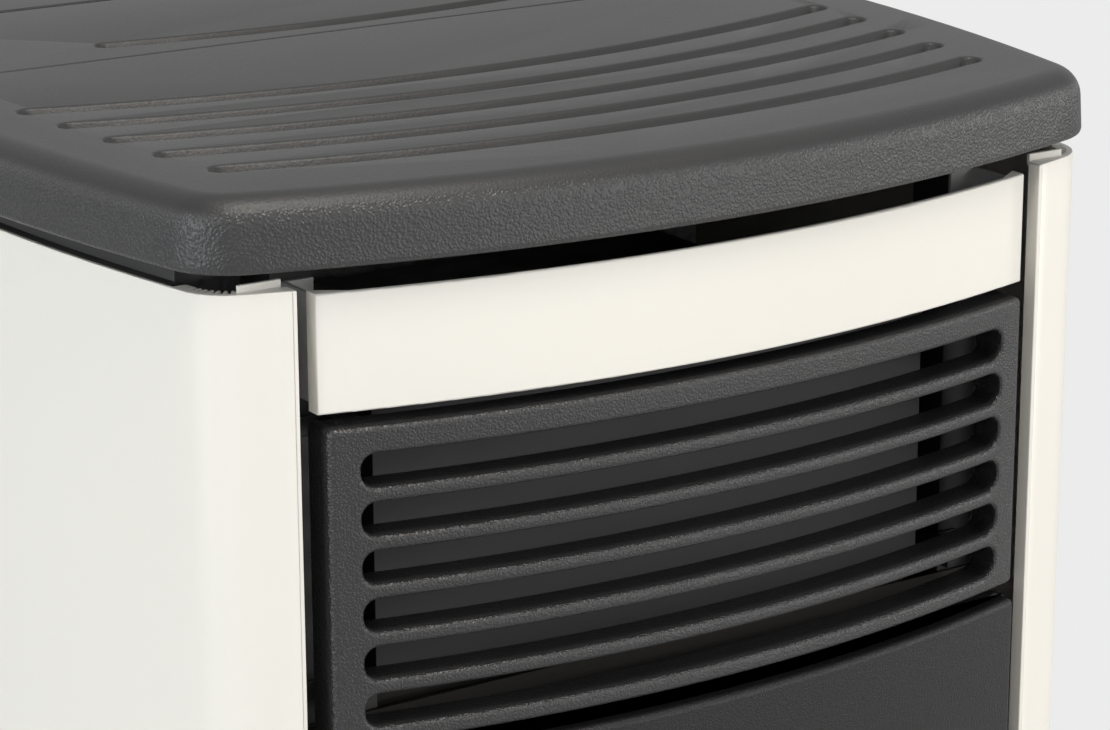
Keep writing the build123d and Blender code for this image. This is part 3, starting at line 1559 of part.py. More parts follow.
def build_parts():
    """Every node of the stove, by name."""
    panel = make_side_panel()
    parts = {
        "cast_top_plate": make_top_plate(),
        "hopper_lid": make_lid(),
        "lid_hinge_pins": make_lid_pins(),
        "lid_seal": make_lid_seal(),
        "right_side_panel": panel,
        "left_side_panel": mirror(panel, about=Plane.YZ),
        "front_band": make_band(),
        "air_grille": make_grille(),
        "grille_baffle": make_baffle(),
        "front_brackets": make_front_brackets(),
        "fire_door": make_door(),
        "door_glass": make_glass(),
        "glass_gasket": make_gasket(),
        "glass_clips": make_clips(),
        "clip_screws": make_clip_screws(),
        "door_rope_seal": make_rope_seal(),
        "door_hinge_pins": make_hinge_pins(),
        "door_handle": make_handle(),
        "latch_tongue": make_tongue(),
        "door_surround": make_surround(),
        "latch_keeper": make_keeper(),
        "ash_drawer_front": make_drawer_front(),
        "ash_drawer_box": make_drawer_box(),
        "base_tray": make_base_tray(),
        "chassis_posts": make_posts(),
        "top_frame": make_top_frame(),
        "firebox_stand": make_stand(),
        "rear_bulkhead": make_bulkhead(),
        "firebox": make_firebox(),
        "fire_liner": make_liner(),
        "hearth_plate": make_hearth(),
        "burn_pot": make_burn_pot(),
        "igniter": make_igniter(),
        "heat_exchanger": make_exchanger(),
        "hopper": make_hopper(),
        "auger_tube": make_auger_tube(),
        "auger_screw": make_auger_screw(),
        "auger_gearmotor": make_gearmotor(),
        "exhaust_housing": make_exhaust_housing(),
        "exhaust_impeller": make_impeller(),
        "exhaust_motor": make_exhaust_motor(),
        "flue_collar": make_flue_collar(),
        "air_intake_pipe": make_intake(),
        "room_fan_housing": make_room_fan_housing(),
        "room_fan_wheel": make_room_wheel(),
        "room_fan_motor": make_room_fan_motor(),
    }
    return parts


def build_more_parts():
    """The rest of the nodes: feet, back, power and controls."""
    parts = {
        "circuit_board": make_board(),
        "rear_panel": make_rear_panel(),
        "rear_screws": make_rear_screws(),
        "power_inlet": make_inlet(),
        "power_rocker": make_rocker(),
        "control_panel": make_control_panel(),
        "display_window": make_display(),
    }
    names = ("foot_front_left", "foot_front_right", "foot_rear_left", "foot_rear_right")
    for name, place in zip(names, foot_places()):
        parts[name] = make_foot(*place)
    for index, x in enumerate(button_places()):
        parts[f"button_{index + 1}"] = make_button(x)
    return parts


def main():
    os.makedirs("parts", exist_ok=True)
    parts = build_parts()
    parts.update(build_more_parts())
    for name, solid in parts.items():
        export_step(solid, f"parts/{name}.step")
    print(len(parts), "nodes written")


main()
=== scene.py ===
# %% [markdown]
# # A pellet stove with a bowed cast top
# The stove's solids are already modelled and packed, each moving part on its own body, so nothing is moved
# here. This lesson gives them their looks: a camera, soft light, painted and bare metal finishes, softened
# edges, and the small details that a close photograph of such a stove shows.

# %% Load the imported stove
import json
import math

import bmesh
import bpy
from mathutils import Matrix, Vector

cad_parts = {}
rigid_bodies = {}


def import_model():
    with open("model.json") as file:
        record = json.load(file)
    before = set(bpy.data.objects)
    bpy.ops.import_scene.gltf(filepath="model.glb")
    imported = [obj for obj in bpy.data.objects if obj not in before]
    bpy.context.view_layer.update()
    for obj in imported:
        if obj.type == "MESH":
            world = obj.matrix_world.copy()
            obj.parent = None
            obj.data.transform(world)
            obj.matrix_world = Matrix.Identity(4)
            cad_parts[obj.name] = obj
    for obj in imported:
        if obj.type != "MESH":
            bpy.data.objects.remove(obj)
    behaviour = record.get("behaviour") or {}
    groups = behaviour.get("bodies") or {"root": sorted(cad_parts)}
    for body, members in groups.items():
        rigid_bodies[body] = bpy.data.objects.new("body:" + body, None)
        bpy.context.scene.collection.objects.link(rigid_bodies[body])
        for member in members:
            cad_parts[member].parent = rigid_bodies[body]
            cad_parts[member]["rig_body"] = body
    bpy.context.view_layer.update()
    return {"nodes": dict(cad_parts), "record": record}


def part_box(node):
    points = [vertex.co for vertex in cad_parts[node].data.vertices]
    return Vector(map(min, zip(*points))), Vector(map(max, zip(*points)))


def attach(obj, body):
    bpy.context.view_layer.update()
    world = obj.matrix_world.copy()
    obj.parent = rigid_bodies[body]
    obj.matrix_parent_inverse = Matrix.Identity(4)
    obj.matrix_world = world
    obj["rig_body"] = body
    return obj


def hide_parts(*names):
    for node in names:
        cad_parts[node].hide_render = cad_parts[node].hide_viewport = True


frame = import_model()
nodes = frame["nodes"]
slot_of = {part["node"]: part["material_slot"] for part in frame["record"]["subparts"]}
scene = bpy.context.scene

# %% [markdown]
# ## Camera
# The photograph looks down on the front left corner from about a metre and a half away. A place and a
# direction could be typed in as they are, but a point to look at, two angles and a distance are easier to
# reason about, and the camera's turn comes from three directions that stand square to each other.

# %% Camera
look_at = Vector((-0.0722, -0.2400, 0.88705))
yaw = math.radians(33.185)
pitch = math.radians(16.589)
roll = math.radians(-0.194)
distance = 1.507
film_width = 36
focal_length = 113.51
far_limit = 60

forward = Vector((math.sin(yaw) * math.cos(pitch), math.cos(yaw) * math.cos(pitch), -math.sin(pitch)))
level = Vector((math.cos(yaw), -math.sin(yaw), 0))
upward = level.cross(forward)
across = math.cos(roll) * level + math.sin(roll) * upward
above = math.cos(roll) * upward - math.sin(roll) * level

camera = bpy.data.objects.new("camera", bpy.data.cameras.new("camera"))
scene.collection.objects.link(camera)
camera.data.sensor_width = film_width
camera.data.lens = focal_length
camera.data.clip_end = far_limit
camera.rotation_mode = "QUATERNION"
camera.rotation_quaternion = Matrix((across, above, -forward)).transposed().to_quaternion()
camera.location = look_at - distance * forward
scene.camera = camera
print("camera at", tuple(round(value, 3) for value in camera.location))

# %% [markdown]
# ## A short way to lay shader nodes
# Every light and finish below is a small tree of nodes. Written out in full, each node takes a line for
# every value and link. Two helpers shorten that: an input takes either a plain value or the output socket
# that feeds it, so a node, its settings and its links are one call.

# %% Helpers for shader nodes
def feed(tree, socket, value):
    """Gives an input a plain value, or a link when the value is another node's output socket."""
    if isinstance(value, bpy.types.NodeSocket):
        tree.links.new(value, socket)
    else:
        socket.default_value = value


def put(tree, kind, *inputs, **settings):
    """A shader node, with its inputs in turn or by name, a space written as _, after its other settings."""
    node = tree.nodes.new("ShaderNode" + kind)
    for key, value in settings.items():
        if hasattr(node, key):
            setattr(node, key, value)
        else:
            feed(tree, node.inputs[key.replace("_", " ")], value)
    for socket, value in zip(node.inputs, inputs):
        feed(tree, socket, value)
    return node


# %% [markdown]
# ## Floor, backdrop and light
# A product photograph has one pale tone all round. The floor is a wide sheet that takes the stove's
# shadow, and its far part and the world share the tone. Light Path tells what the camera, glossy and clear
# surfaces see from what lights the stove. That light is a pale world, a little brighter above, and four
# soft lamps: a tall one in front, a warm one on the right, a cool one on the left, and a small one over
# the top for the roll's highlight.

# %% World
backdrop_tone = 0.839
light_below = 0.46
light_above = 0.56

world = bpy.data.worlds.new("studio")
scene.world = world
world.use_nodes = True
sky = world.node_tree
sky.nodes.clear()
direction = put(sky, "SeparateXYZ", put(sky, "TexCoord").outputs["Generated"])
rise = put(sky, "MapRange", Value=direction.outputs["Z"], From_Min=-0.1, From_Max=0.9, To_Min=light_below,
           To_Max=light_above)
light = put(sky, "Background", Strength=rise.outputs["Result"])
backdrop = put(sky, "Background", Color=(backdrop_tone, backdrop_tone, backdrop_tone, 1))
ray = put(sky, "LightPath")
mirrored = put(sky, "Math", ray.outputs["Is Glossy Ray"], ray.outputs["Is Transmission Ray"],
               operation="MAXIMUM")
shown = put(sky, "Math", ray.outputs["Is Camera Ray"], mirrored.outputs[0], operation="MAXIMUM")
choose = put(sky, "MixShader", shown.outputs[0], light.outputs[0], backdrop.outputs[0])
put(sky, "OutputWorld", choose.outputs[0])
print("world light from", light_below, "to", light_above)


# %% Lamps
def soft_lamp(name, place, aim, width, tall, power, tint):
    """A rectangular area lamp that points at aim. Its power is in watts."""
    lamp = bpy.data.objects.new(name, bpy.data.lights.new(name, "AREA"))
    lamp.data.shape = "RECTANGLE"
    lamp.data.size = width
    lamp.data.size_y = tall
    lamp.data.energy = power
    lamp.data.color = tint
    lamp.location = place
    lamp.rotation_mode = "QUATERNION"
    lamp.rotation_quaternion = (Vector(aim) - Vector(place)).to_track_quat("-Z", "Y")
    scene.collection.objects.link(lamp)
    return lamp


lamps = [
    soft_lamp("key", place=(1.45, -3.1, 1.2), aim=(0, 0, 0.85), width=1.2, tall=2.3, power=29,
              tint=(1.0, 0.985, 0.965)),
    soft_lamp("side", place=(3.0, -1.4, 1.3), aim=(0, 0, 0.85), width=0.8, tall=1.6, power=21,
              tint=(1.0, 0.98, 0.95)),
    soft_lamp("fill", place=(-2.85, -0.5, 1.2), aim=(0, 0, 0.75), width=0.6, tall=2.2, power=34,
              tint=(0.92, 0.965, 1.0)),
    soft_lamp("top", place=(-0.15, -0.8, 2.75), aim=(-0.1, -0.2, 0.98), width=0.4, tall=0.4, power=24,
              tint=(1.0, 0.95, 0.88)),
]
print("lamps:", {lamp.name: lamp.data.energy for lamp in lamps})

# %% Floor
floor_radius = 14
shadow_radius = 0.55
backdrop_radius = 1.5

floor_mesh = bmesh.new()
bmesh.ops.create_circle(floor_mesh, cap_ends=True, radius=floor_radius, segments=96)
floor = bpy.data.objects.new("floor", bpy.data.meshes.new("floor"))
floor_mesh.to_mesh(floor.data)
floor_mesh.free()
scene.collection.objects.link(floor)

ground = bpy.data.materials.new("pale floor")
ground.use_nodes = True
tree = ground.node_tree
surface = tree.nodes["Principled BSDF"]
surface.inputs["Base Color"].default_value = (0.80, 0.80, 0.80, 1)
surface.inputs["Roughness"].default_value = 0.9
surface.inputs["Specular IOR Level"].default_value = 0.2
glow = put(tree, "Emission", Color=(backdrop_tone, backdrop_tone, backdrop_tone, 1))
reach = put(tree, "VectorMath", put(tree, "TexCoord").outputs["Object"], operation="LENGTH")
fade = put(tree, "MapRange", Value=reach.outputs["Value"], From_Min=shadow_radius, From_Max=backdrop_radius)
far = put(tree, "Math", fade.outputs["Result"], put(tree, "LightPath").outputs["Is Camera Ray"],
          operation="MULTIPLY")
blend = put(tree, "MixShader", far.outputs[0], surface.outputs[0], glow.outputs[0])
tree.links.new(blend.outputs[0], tree.nodes["Material Output"].inputs["Surface"])
floor.data.materials.append(ground)
print("the floor turns into the backdrop from", shadow_radius, "to", backdrop_radius, "m out")

# %% [markdown]
# ## Shared effects
# Several finishes on the stove share an effect: a pebbled heat paint on castings, the faint orange peel of
# powder coat, the streaks of rolled or turned metal, the crystals of zinc, and dust that settles on what
# faces up. Each is a node group with named inputs, so that every finish places it with its own scale.
# Groups give out values only. The shader stays in the material.

# %% A new group
def new_group(name, inputs, outputs):
    """A shader group with named inputs, numbers or vectors as their values are, and its two end nodes."""
    group = bpy.data.node_groups.new(name, "ShaderNodeTree")
    for title, value in inputs.items():
        kind = "NodeSocketVector" if isinstance(value, tuple) else "NodeSocketFloat"
        group.interface.new_socket(name=title, in_out="INPUT", socket_type=kind).default_value = value
    for title in outputs:
        group.interface.new_socket(name=title, in_out="OUTPUT", socket_type="NodeSocketFloat")
    return group, group.nodes.new("NodeGroupInput"), group.nodes.new("NodeGroupOutput")


# %% [markdown]
# The pebbled paint is made from smooth cells, bent by a little noise so that no row shows, with a finer
# noise mixed in. Smooth cells give round pebbles with narrow valleys, as leather has, where plain noise
# would give soft hills.

# %% Pebbled paint
bend_scale = 0.45
fine_scale = 1.7
fine_share = 0.4

pebble, start, end = new_group("pebbled paint", {"Size": 0.002, "Bend": 0.5, "Calm": 0.0},
                               ["Height", "Shade", "Level"])
place = put(pebble, "TexCoord").outputs["Object"]
fineness = put(pebble, "Math", 1, start.outputs["Size"], operation="DIVIDE").outputs[0]
bend_size = put(pebble, "Math", fineness, bend_scale, operation="MULTIPLY")
bend = put(pebble, "TexNoise", Vector=place, Scale=bend_size.outputs[0], Detail=2.0, Roughness=0.5)
centred = put(pebble, "VectorMath", bend.outputs["Color"], (0.5, 0.5, 0.5), operation="SUBTRACT")
bend_reach = put(pebble, "Math", start.outputs["Size"], start.outputs["Bend"], operation="MULTIPLY")
stretch = put(pebble, "VectorMath", centred.outputs[0], operation="SCALE", Scale=bend_reach.outputs[0])
moved = put(pebble, "VectorMath", place, stretch.outputs[0], operation="ADD")
cells = put(pebble, "TexVoronoi", feature="SMOOTH_F1", Vector=moved.outputs[0], Scale=fineness,
            Smoothness=0.55)
round_off = put(pebble, "MapRange", interpolation_type="SMOOTHSTEP", Value=cells.outputs["Distance"],
                From_Min=0.05, From_Max=0.75, To_Min=1.0, To_Max=0.0)
fine_size = put(pebble, "Math", fineness, fine_scale, operation="MULTIPLY")
fine = put(pebble, "TexNoise", Vector=place, Scale=fine_size.outputs[0], Detail=3.0, Roughness=0.6)
relief = put(pebble, "Mix", data_type="FLOAT", Factor=fine_share, A=round_off.outputs["Result"],
             B=fine.outputs["Fac"])

# %% [markdown]
# On the top plate the pebbles are full on the rolled edge, and nearly gone where the casting was ground
# flat and in its grooves. Level is 1 on what faces up and on all that lies close under the plate's top,
# and Calm says how much of the relief goes there. The same Level also places the top's painted shade, a
# darker colour that stands in for less light there.

# %% Where the casting is ground and where the top has painted shade
plate_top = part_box("cast_top_plate")[1][2]
roll_starts = plate_top - 0.0085
grooves_end = plate_top - 0.0045

facing = put(pebble, "SeparateXYZ", put(pebble, "NewGeometry").outputs["True Normal"])
facing_up = put(pebble, "MapRange", interpolation_type="SMOOTHSTEP", Value=facing.outputs["Z"],
                From_Min=0.55, From_Max=0.98)
height_of = put(pebble, "SeparateXYZ", place)
near_top = put(pebble, "MapRange", interpolation_type="SMOOTHSTEP", Value=height_of.outputs["Z"],
               From_Min=roll_starts, From_Max=grooves_end)
ground_and_shaded = put(pebble, "Math", facing_up.outputs["Result"], near_top.outputs["Result"],
                 operation="MAXIMUM")
calmed = put(pebble, "Math", ground_and_shaded.outputs[0], start.outputs["Calm"], operation="MULTIPLY")
kept = put(pebble, "Math", 1, calmed.outputs[0], operation="SUBTRACT")
height = put(pebble, "Math", relief.outputs["Result"], kept.outputs[0], operation="MULTIPLY")
pebble.links.new(height.outputs[0], end.inputs["Height"])
pebble.links.new(fine.outputs["Fac"], end.inputs["Shade"])
pebble.links.new(ground_and_shaded.outputs[0], end.inputs["Level"])
print("pebbled paint:", len(pebble.nodes), "nodes")

# %% [markdown]
# Powder coat flows before it sets, which leaves an orange peel under a millimetre across, and its colour
# drifts a little over a whole panel. Two noises of very different sizes give both.

# %% Powder coat
powder, start, end = new_group("powder coat", {"Size": 0.0008, "Drift": 0.25}, ["Height", "Shade"])
place = put(powder, "TexCoord").outputs["Object"]
fineness = put(powder, "Math", 1, start.outputs["Size"], operation="DIVIDE")
peel = put(powder, "TexNoise", Vector=place, Scale=fineness.outputs[0], Detail=2.0, Roughness=0.4)
spread = put(powder, "Math", 1, start.outputs["Drift"], operation="DIVIDE")
patches = put(powder, "TexNoise", Vector=place, Scale=spread.outputs[0], Detail=3.0, Roughness=0.5)
powder.links.new(peel.outputs["Fac"], end.inputs["Height"])
powder.links.new(patches.outputs["Fac"], end.inputs["Shade"])
print("powder coat:", len(powder.nodes), "nodes")

# %% [markdown]
# Rolled sheet and turned bars keep fine lines along one direction. A noise squeezed on one axis draws
# them. The squeeze is a vector input, so a turned shaft and a rolled sheet can each have their own
# direction.

# %% Rolled or turned streaks
streak, start, end = new_group("streaks", {"Fineness": 900.0, "Squeeze": (1.0, 1.0, 1.0)},
                               ["Height", "Shade"])
place = put(streak, "TexCoord").outputs["Object"]
squeezed = put(streak, "VectorMath", place, start.outputs["Squeeze"], operation="MULTIPLY")
lines = put(streak, "TexNoise", Vector=squeezed.outputs[0], Scale=start.outputs["Fineness"], Detail=3.0,
            Roughness=0.6)
cloud = put(streak, "TexNoise", Vector=place, Scale=9.0, Detail=2.0)
streak.links.new(lines.outputs["Fac"], end.inputs["Height"])
streak.links.new(cloud.outputs["Fac"], end.inputs["Shade"])
print("streaks:", len(streak.nodes), "nodes")

# %% [markdown]
# Hot-dip zinc sets in flat crystals about a centimetre across, each with its own brightness. The random
# colour of Voronoi cells gives one value a crystal.

# %% Zinc crystals
zinc, start, end = new_group("zinc crystals", {"Size": 0.009}, ["Height", "Shade"])
place = put(zinc, "TexCoord").outputs["Object"]
fineness = put(zinc, "Math", 1, start.outputs["Size"], operation="DIVIDE")
wobble = put(zinc, "TexNoise", Vector=place, Scale=160.0, Detail=2.0)
nudge = put(zinc, "VectorMath", wobble.outputs["Color"], operation="SCALE", Scale=0.006)
moved = put(zinc, "VectorMath", place, nudge.outputs[0], operation="ADD")
crystals = put(zinc, "TexVoronoi", feature="F1", Vector=moved.outputs[0], Scale=fineness.outputs[0])
brightness = put(zinc, "SeparateColor", crystals.outputs["Color"])
peel = put(zinc, "TexNoise", Vector=place, Scale=700.0, Detail=2.0)
zinc.links.new(peel.outputs["Fac"], end.inputs["Height"])
zinc.links.new(brightness.outputs[0], end.inputs["Shade"])
print("zinc crystals:", len(zinc.nodes), "nodes")

# %% [markdown]
# Dust lies only where a surface faces up. The height of the surface's normal says how level it is, and a
# noise breaks the layer into patches.

# %% Settled dust
dust, start, end = new_group("settled dust", {"Amount": 0.3}, ["Mask"])
facing = put(dust, "SeparateXYZ", put(dust, "NewGeometry").outputs["Normal"])
up = put(dust, "MapRange", Value=facing.outputs["Z"], From_Min=0.55, From_Max=1.0)
patches = put(dust, "TexNoise", Vector=put(dust, "TexCoord").outputs["Object"], Scale=14.0, Detail=5.0,
              Roughness=0.65)
broken = put(dust, "MapRange", Value=patches.outputs["Fac"], From_Min=0.42, From_Max=0.72)
both = put(dust, "Math", up.outputs["Result"], broken.outputs["Result"], operation="MULTIPLY")
amount = put(dust, "Math", both.outputs[0], start.outputs["Amount"], operation="MULTIPLY")
dust.links.new(amount.outputs[0], end.inputs["Mask"])
print(len(bpy.data.node_groups), "shared effects")

# %% [markdown]
# ## Finishes
# Every finish is built the same way: two close colours mixed by an effect's Shade, a roughness that
# follows it, its Height in a Bump node, and dust on top. One function lays these nodes, and each finish is
# then one call with the values that its real surface has. A casting may also have a more matt face where
# it was ground, and a painted shade there: a darker colour on what faces up, which stands in for less
# light on it and is not a tone of the paint. What differs otherwise, such as glass, is added by hand.

# %% One way to build a finish
finishes = {}
dust_tone = (0.42, 0.40, 0.37)


def finish(slot, light_tone, dark_tone, roughness, effect, values, relief, metallic=0.0, dust_amount=0.1,
           rough_drift=0.08, specular=0.5, level_matt=0.0, painted_level_shade=None):
    """A material from two colours, an effect group and the effect's inputs. It returns the shader node."""
    material = bpy.data.materials.new(slot.replace("_", " "))
    material.use_nodes = True
    tree = material.node_tree
    shader = tree.nodes["Principled BSDF"]
    shader.inputs["Metallic"].default_value = metallic
    shader.inputs["Specular IOR Level"].default_value = specular
    pattern = put(tree, "Group", node_tree=effect, **values).outputs
    tone = put(tree, "Mix", data_type="RGBA", Factor=pattern["Shade"], A=(*dark_tone, 1), B=(*light_tone, 1))
    # Painted shade: where Level is 1, on what faces up or lies close under the top, the colour turns to this
    # darker tone, standing in for less light there.
    if painted_level_shade:
        tone = put(tree, "Mix", data_type="RGBA", Factor=pattern["Level"], A=tone.outputs["Result"],
                   B=(*painted_level_shade, 1))
    settled = put(tree, "Group", node_tree=dust, Amount=dust_amount)
    dusty = put(tree, "Mix", data_type="RGBA", Factor=settled.outputs["Mask"], A=tone.outputs["Result"],
                B=(*dust_tone, 1))
    rough = put(tree, "MapRange", Value=pattern["Shade"], To_Min=roughness - rough_drift,
                To_Max=roughness + rough_drift)
    if level_matt:
        rough = put(tree, "Math", pattern["Level"], level_matt, rough.outputs["Result"],
                    operation="MULTIPLY_ADD")
    bump = put(tree, "Bump", Distance=relief, Strength=1.0, Height=pattern["Height"])
    tree.links.new(dusty.outputs["Result"], shader.inputs["Base Color"])
    tree.links.new(rough.outputs[0], shader.inputs["Roughness"])
    tree.links.new(bump.outputs["Normal"], shader.inputs["Normal"])
    finishes[slot] = material
    return shader


# %% [markdown]
# ### Painted castings and sheet
# The castings have a matt heat paint over a pebbled surface. The cream sheet is powder coated, smooth and
# barely warm. Inside parts have a plain dark paint.

# %% Paints
# The cast top's last colour is painted shade, not paint: it darkens the level faces to stand in for less
# light on them.
finish("cast_iron_top", (0.042, 0.042, 0.043), (0.027, 0.027, 0.028), 0.34, pebble,
       {"Size": 0.0013, "Bend": 1.0, "Calm": 0.8}, 0.00042, dust_amount=0.01, specular=0.52, level_matt=0.15,
       painted_level_shade=(0.011, 0.011, 0.0115))
finish("cast_iron_front", (0.024, 0.024, 0.025), (0.012, 0.012, 0.013), 0.36, pebble,
       {"Size": 0.0011, "Bend": 1.0}, 0.00042, dust_amount=0.01, specular=0.58)
finish("cast_iron_door", (0.018, 0.018, 0.019), (0.009, 0.009, 0.010), 0.40, pebble,
       {"Size": 0.0009, "Bend": 1.0}, 0.00026, dust_amount=0.01, specular=0.30)
finish("cast_iron_black", (0.046, 0.046, 0.047), (0.034, 0.034, 0.035), 0.52, pebble,
       {"Size": 0.0013, "Bend": 1.0}, 0.00014, dust_amount=0.03)
finish("cream_sheet", (0.885, 0.862, 0.800), (0.870, 0.848, 0.786), 0.42, powder,
       {"Size": 0.0010, "Drift": 0.20}, 0.000012, dust_amount=0.0, rough_drift=0.04, specular=0.35)
finish("dark_sheet", (0.028, 0.028, 0.029), (0.020, 0.020, 0.021), 0.46, powder,
       {"Size": 0.0012, "Drift": 0.05}, 0.00003, dust_amount=0.08)
finish("handle_steel", (0.034, 0.034, 0.035), (0.026, 0.026, 0.027), 0.38, powder,
       {"Size": 0.0007, "Drift": 0.03}, 0.00002, dust_amount=0.02)
print("paints:", list(finishes))

# %% [markdown]
# ### Bare metals
# Zinc sheet shows its crystals, the firebox steel is dark from heat, and pins, screws and the auger are
# bright.

# %% Metals
finish("zinc_sheet", (0.64, 0.65, 0.66), (0.47, 0.48, 0.49), 0.40, zinc, {"Size": 0.008}, 0.00002,
       metallic=0.9, dust_amount=0.25)
finish("bracket_zinc", (0.66, 0.66, 0.65), (0.58, 0.58, 0.57), 0.5, zinc, {"Size": 0.008}, 0.00002,
       metallic=0.2, dust_amount=0.05)
finish("black_steel", (0.062, 0.057, 0.053), (0.030, 0.028, 0.027), 0.62, streak,
       {"Fineness": 500.0, "Squeeze": (0.06, 1, 1)}, 0.00004, metallic=0.5, dust_amount=0.35)
finish("bright_steel", (0.60, 0.60, 0.61), (0.46, 0.46, 0.47), 0.30, streak,
       {"Fineness": 1200.0, "Squeeze": (1, 1, 0.05)}, 0.00001, metallic=1.0, dust_amount=0.1)
finish("motor_metal", (0.45, 0.46, 0.48), (0.33, 0.34, 0.36), 0.42, streak,
       {"Fineness": 800.0, "Squeeze": (0.05, 1, 1)}, 0.00002, metallic=0.9, dust_amount=0.2)
print(len(finishes), "finishes with the metals")

# %% [markdown]
# ### Rope, rubber, plastics and the board
# The rope seal is plaited glass fibre, the lid rests on silicone, and the small parts are moulded plastic.

# %% Soft and moulded parts
finish("grey_rope", (0.30, 0.29, 0.27), (0.14, 0.135, 0.13), 0.95, pebble, {"Size": 0.0016, "Bend": 0.3},
       0.0006, dust_amount=0.0)
finish("silicone", (0.060, 0.060, 0.062), (0.045, 0.045, 0.047), 0.6, powder,
       {"Size": 0.0006, "Drift": 0.04}, 0.00001, dust_amount=0.2)
finish("foot_plastic", (0.035, 0.035, 0.036), (0.026, 0.026, 0.027), 0.5, powder,
       {"Size": 0.0005, "Drift": 0.02}, 0.00003, dust_amount=0.2)
finish("black_plastic", (0.030, 0.030, 0.031), (0.022, 0.022, 0.023), 0.36, powder,
       {"Size": 0.0004, "Drift": 0.02}, 0.00002, dust_amount=0.04)
finish("board", (0.020, 0.150, 0.062), (0.012, 0.085, 0.036), 0.4, streak,
       {"Fineness": 300.0, "Squeeze": (1, 1, 0.2)}, 0.00002, dust_amount=0.15)
print(len(finishes), "finishes with the soft and moulded parts")

# %% [markdown]
# ### Glass and display
# The door's ceramic glass is slightly tinted and lets the firebox show. A plain thin sheet with
# transmission does that. The display is black glass.

# %% Glass and display
glass = finish("ceramic_glass", (0.50, 0.46, 0.42), (0.44, 0.40, 0.37), 0.06, powder,
               {"Size": 0.02, "Drift": 0.12}, 0.000004, dust_amount=0.0, rough_drift=0.03)
glass.inputs["Transmission Weight"].default_value = 0.92
glass.inputs["IOR"].default_value = 1.5
finish("display", (0.012, 0.012, 0.014), (0.008, 0.008, 0.010), 0.10, powder, {"Size": 0.004, "Drift": 0.02},
       0.000004, dust_amount=0.0, rough_drift=0.03)
print(len(finishes), "finishes in all")

# %% [markdown]
# ## Softened copies of the solids
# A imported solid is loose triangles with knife-sharp edges, but folded sheet and castings have rounded ones
# that catch the light. Remodelling all of them by hand would risk a wrong size. A copy whose doubles are
# merged and whose flat triangles are dissolved keeps the exact shape, shades its curves smoothly, and
# takes a small bevel on every sharp edge.

# %% A new piece
def new_piece(name, mesh, body, slot, *stands_for, paint=None):
    """An object at the origin from a bmesh, on its body, with its finish."""
    data = bpy.data.meshes.new(name)
    mesh.to_mesh(data)
    mesh.free()
    piece = bpy.data.objects.new(name, data)
    scene.collection.objects.link(piece)
    data.materials.append(finishes[paint or slot])
    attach(piece, body)
    if stands_for:
        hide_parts(*stands_for)
    return piece


# %% Soft edges
sharp_angle = math.radians(35)
flat_angle = math.radians(0.05)
weld = 2e-6


def soften(piece, width):
    """Smooth shading up to the sharp angle, and a bevel on every edge past it unless the width is 0."""
    piece.data.shade_smooth()
    piece.data.set_sharp_from_angle(angle=sharp_angle)
    if not width:
        weigh = piece.modifiers.new("even shading", "WEIGHTED_NORMAL")
        weigh.keep_sharp = True
    else:
        bevel = piece.modifiers.new("soft edges", "BEVEL")
        bevel.width = width
        bevel.segments = 2
        bevel.limit_method = "ANGLE"
        bevel.angle_limit = sharp_angle
        bevel.use_clamp_overlap = False
        bevel.harden_normals = True


# %% Copies of nodes
def welded(name):
    """A bmesh of a node's loose triangles, joined up."""
    mesh = bmesh.new()
    mesh.from_mesh(nodes[name].data)
    bmesh.ops.remove_doubles(mesh, verts=mesh.verts, dist=weld)
    return mesh


def merged(name):
    """A bmesh of a node with its triangles joined up and its flat faces whole."""
    mesh = welded(name)
    bmesh.ops.dissolve_limit(mesh, angle_limit=flat_angle, verts=mesh.verts, edges=mesh.edges, delimit=set())
    return mesh


def look_of(name, mesh, width):
    """A node's copy as a softened piece, which then stands for the node."""
    soften(new_piece(name + "_look", mesh, nodes[name]["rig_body"], slot_of[name], name), width)


# %% [markdown]
# ## Bowed castings
# The grille, the door and the drawer front are thick castings on one bow of 72 centimetres radius. A bevel
# on bent and trimmed faces breaks up, so each casting is drawn flat, where every operator behaves, and
# bent last: its outline is a few faces, vertex bevels round the corners, an extrusion gives the thickness,
# an edge bevel rounds the lip, and cuts every eight millimetres let it bend smoothly.

# %% The bow
bow_radius = 0.720
bow_middle = 0.45475
column_pitch = 0.008
near = 1e-5


def bow_at(x, proud=0.0):
    """The depth of the stove's front at a distance from its middle, or of a face that stands proud of it."""
    return bow_middle - math.sqrt((bow_radius + proud) ** 2 - x ** 2)


def cut_columns(mesh):
    """Cuts a flat piece into upright columns, so that it can bend."""
    count = int(max(vert.co.x for vert in mesh.verts) / column_pitch)
    for column in range(-count, count + 1):
        bmesh.ops.bisect_plane(mesh, geom=mesh.verts[:] + mesh.edges[:] + mesh.faces[:],
                               plane_co=(column * column_pitch, 0, 0), plane_no=(1, 0, 0))


def bend_to_bow(mesh, proud):
    """Bends a flat piece to the stove's bow, a little proud of the band."""
    cut_columns(mesh)
    for vert in mesh.verts:
        vert.co.y += bow_at(vert.co.x, proud)


# %% Flat outlines
def flat_face(mesh, corners):
    """A face in the plane of the stove's front, from its corners in turn."""
    return mesh.faces.new([mesh.verts.new((x, 0, z)) for x, z in corners])


def round_corners(mesh, half, radius, segments, splits=()):
    """Rounds an outline's corners at one distance from its middle, but not the points where it is split."""
    corners = [vert for vert in mesh.verts if abs(abs(vert.co.x) - half) < near
               and all(abs(vert.co.z - split) > near for split in splits)]
    bmesh.ops.bevel(mesh, geom=corners, offset=radius, offset_type="OFFSET", segments=segments, profile=0.5,
                    affect="VERTICES", material=-1)


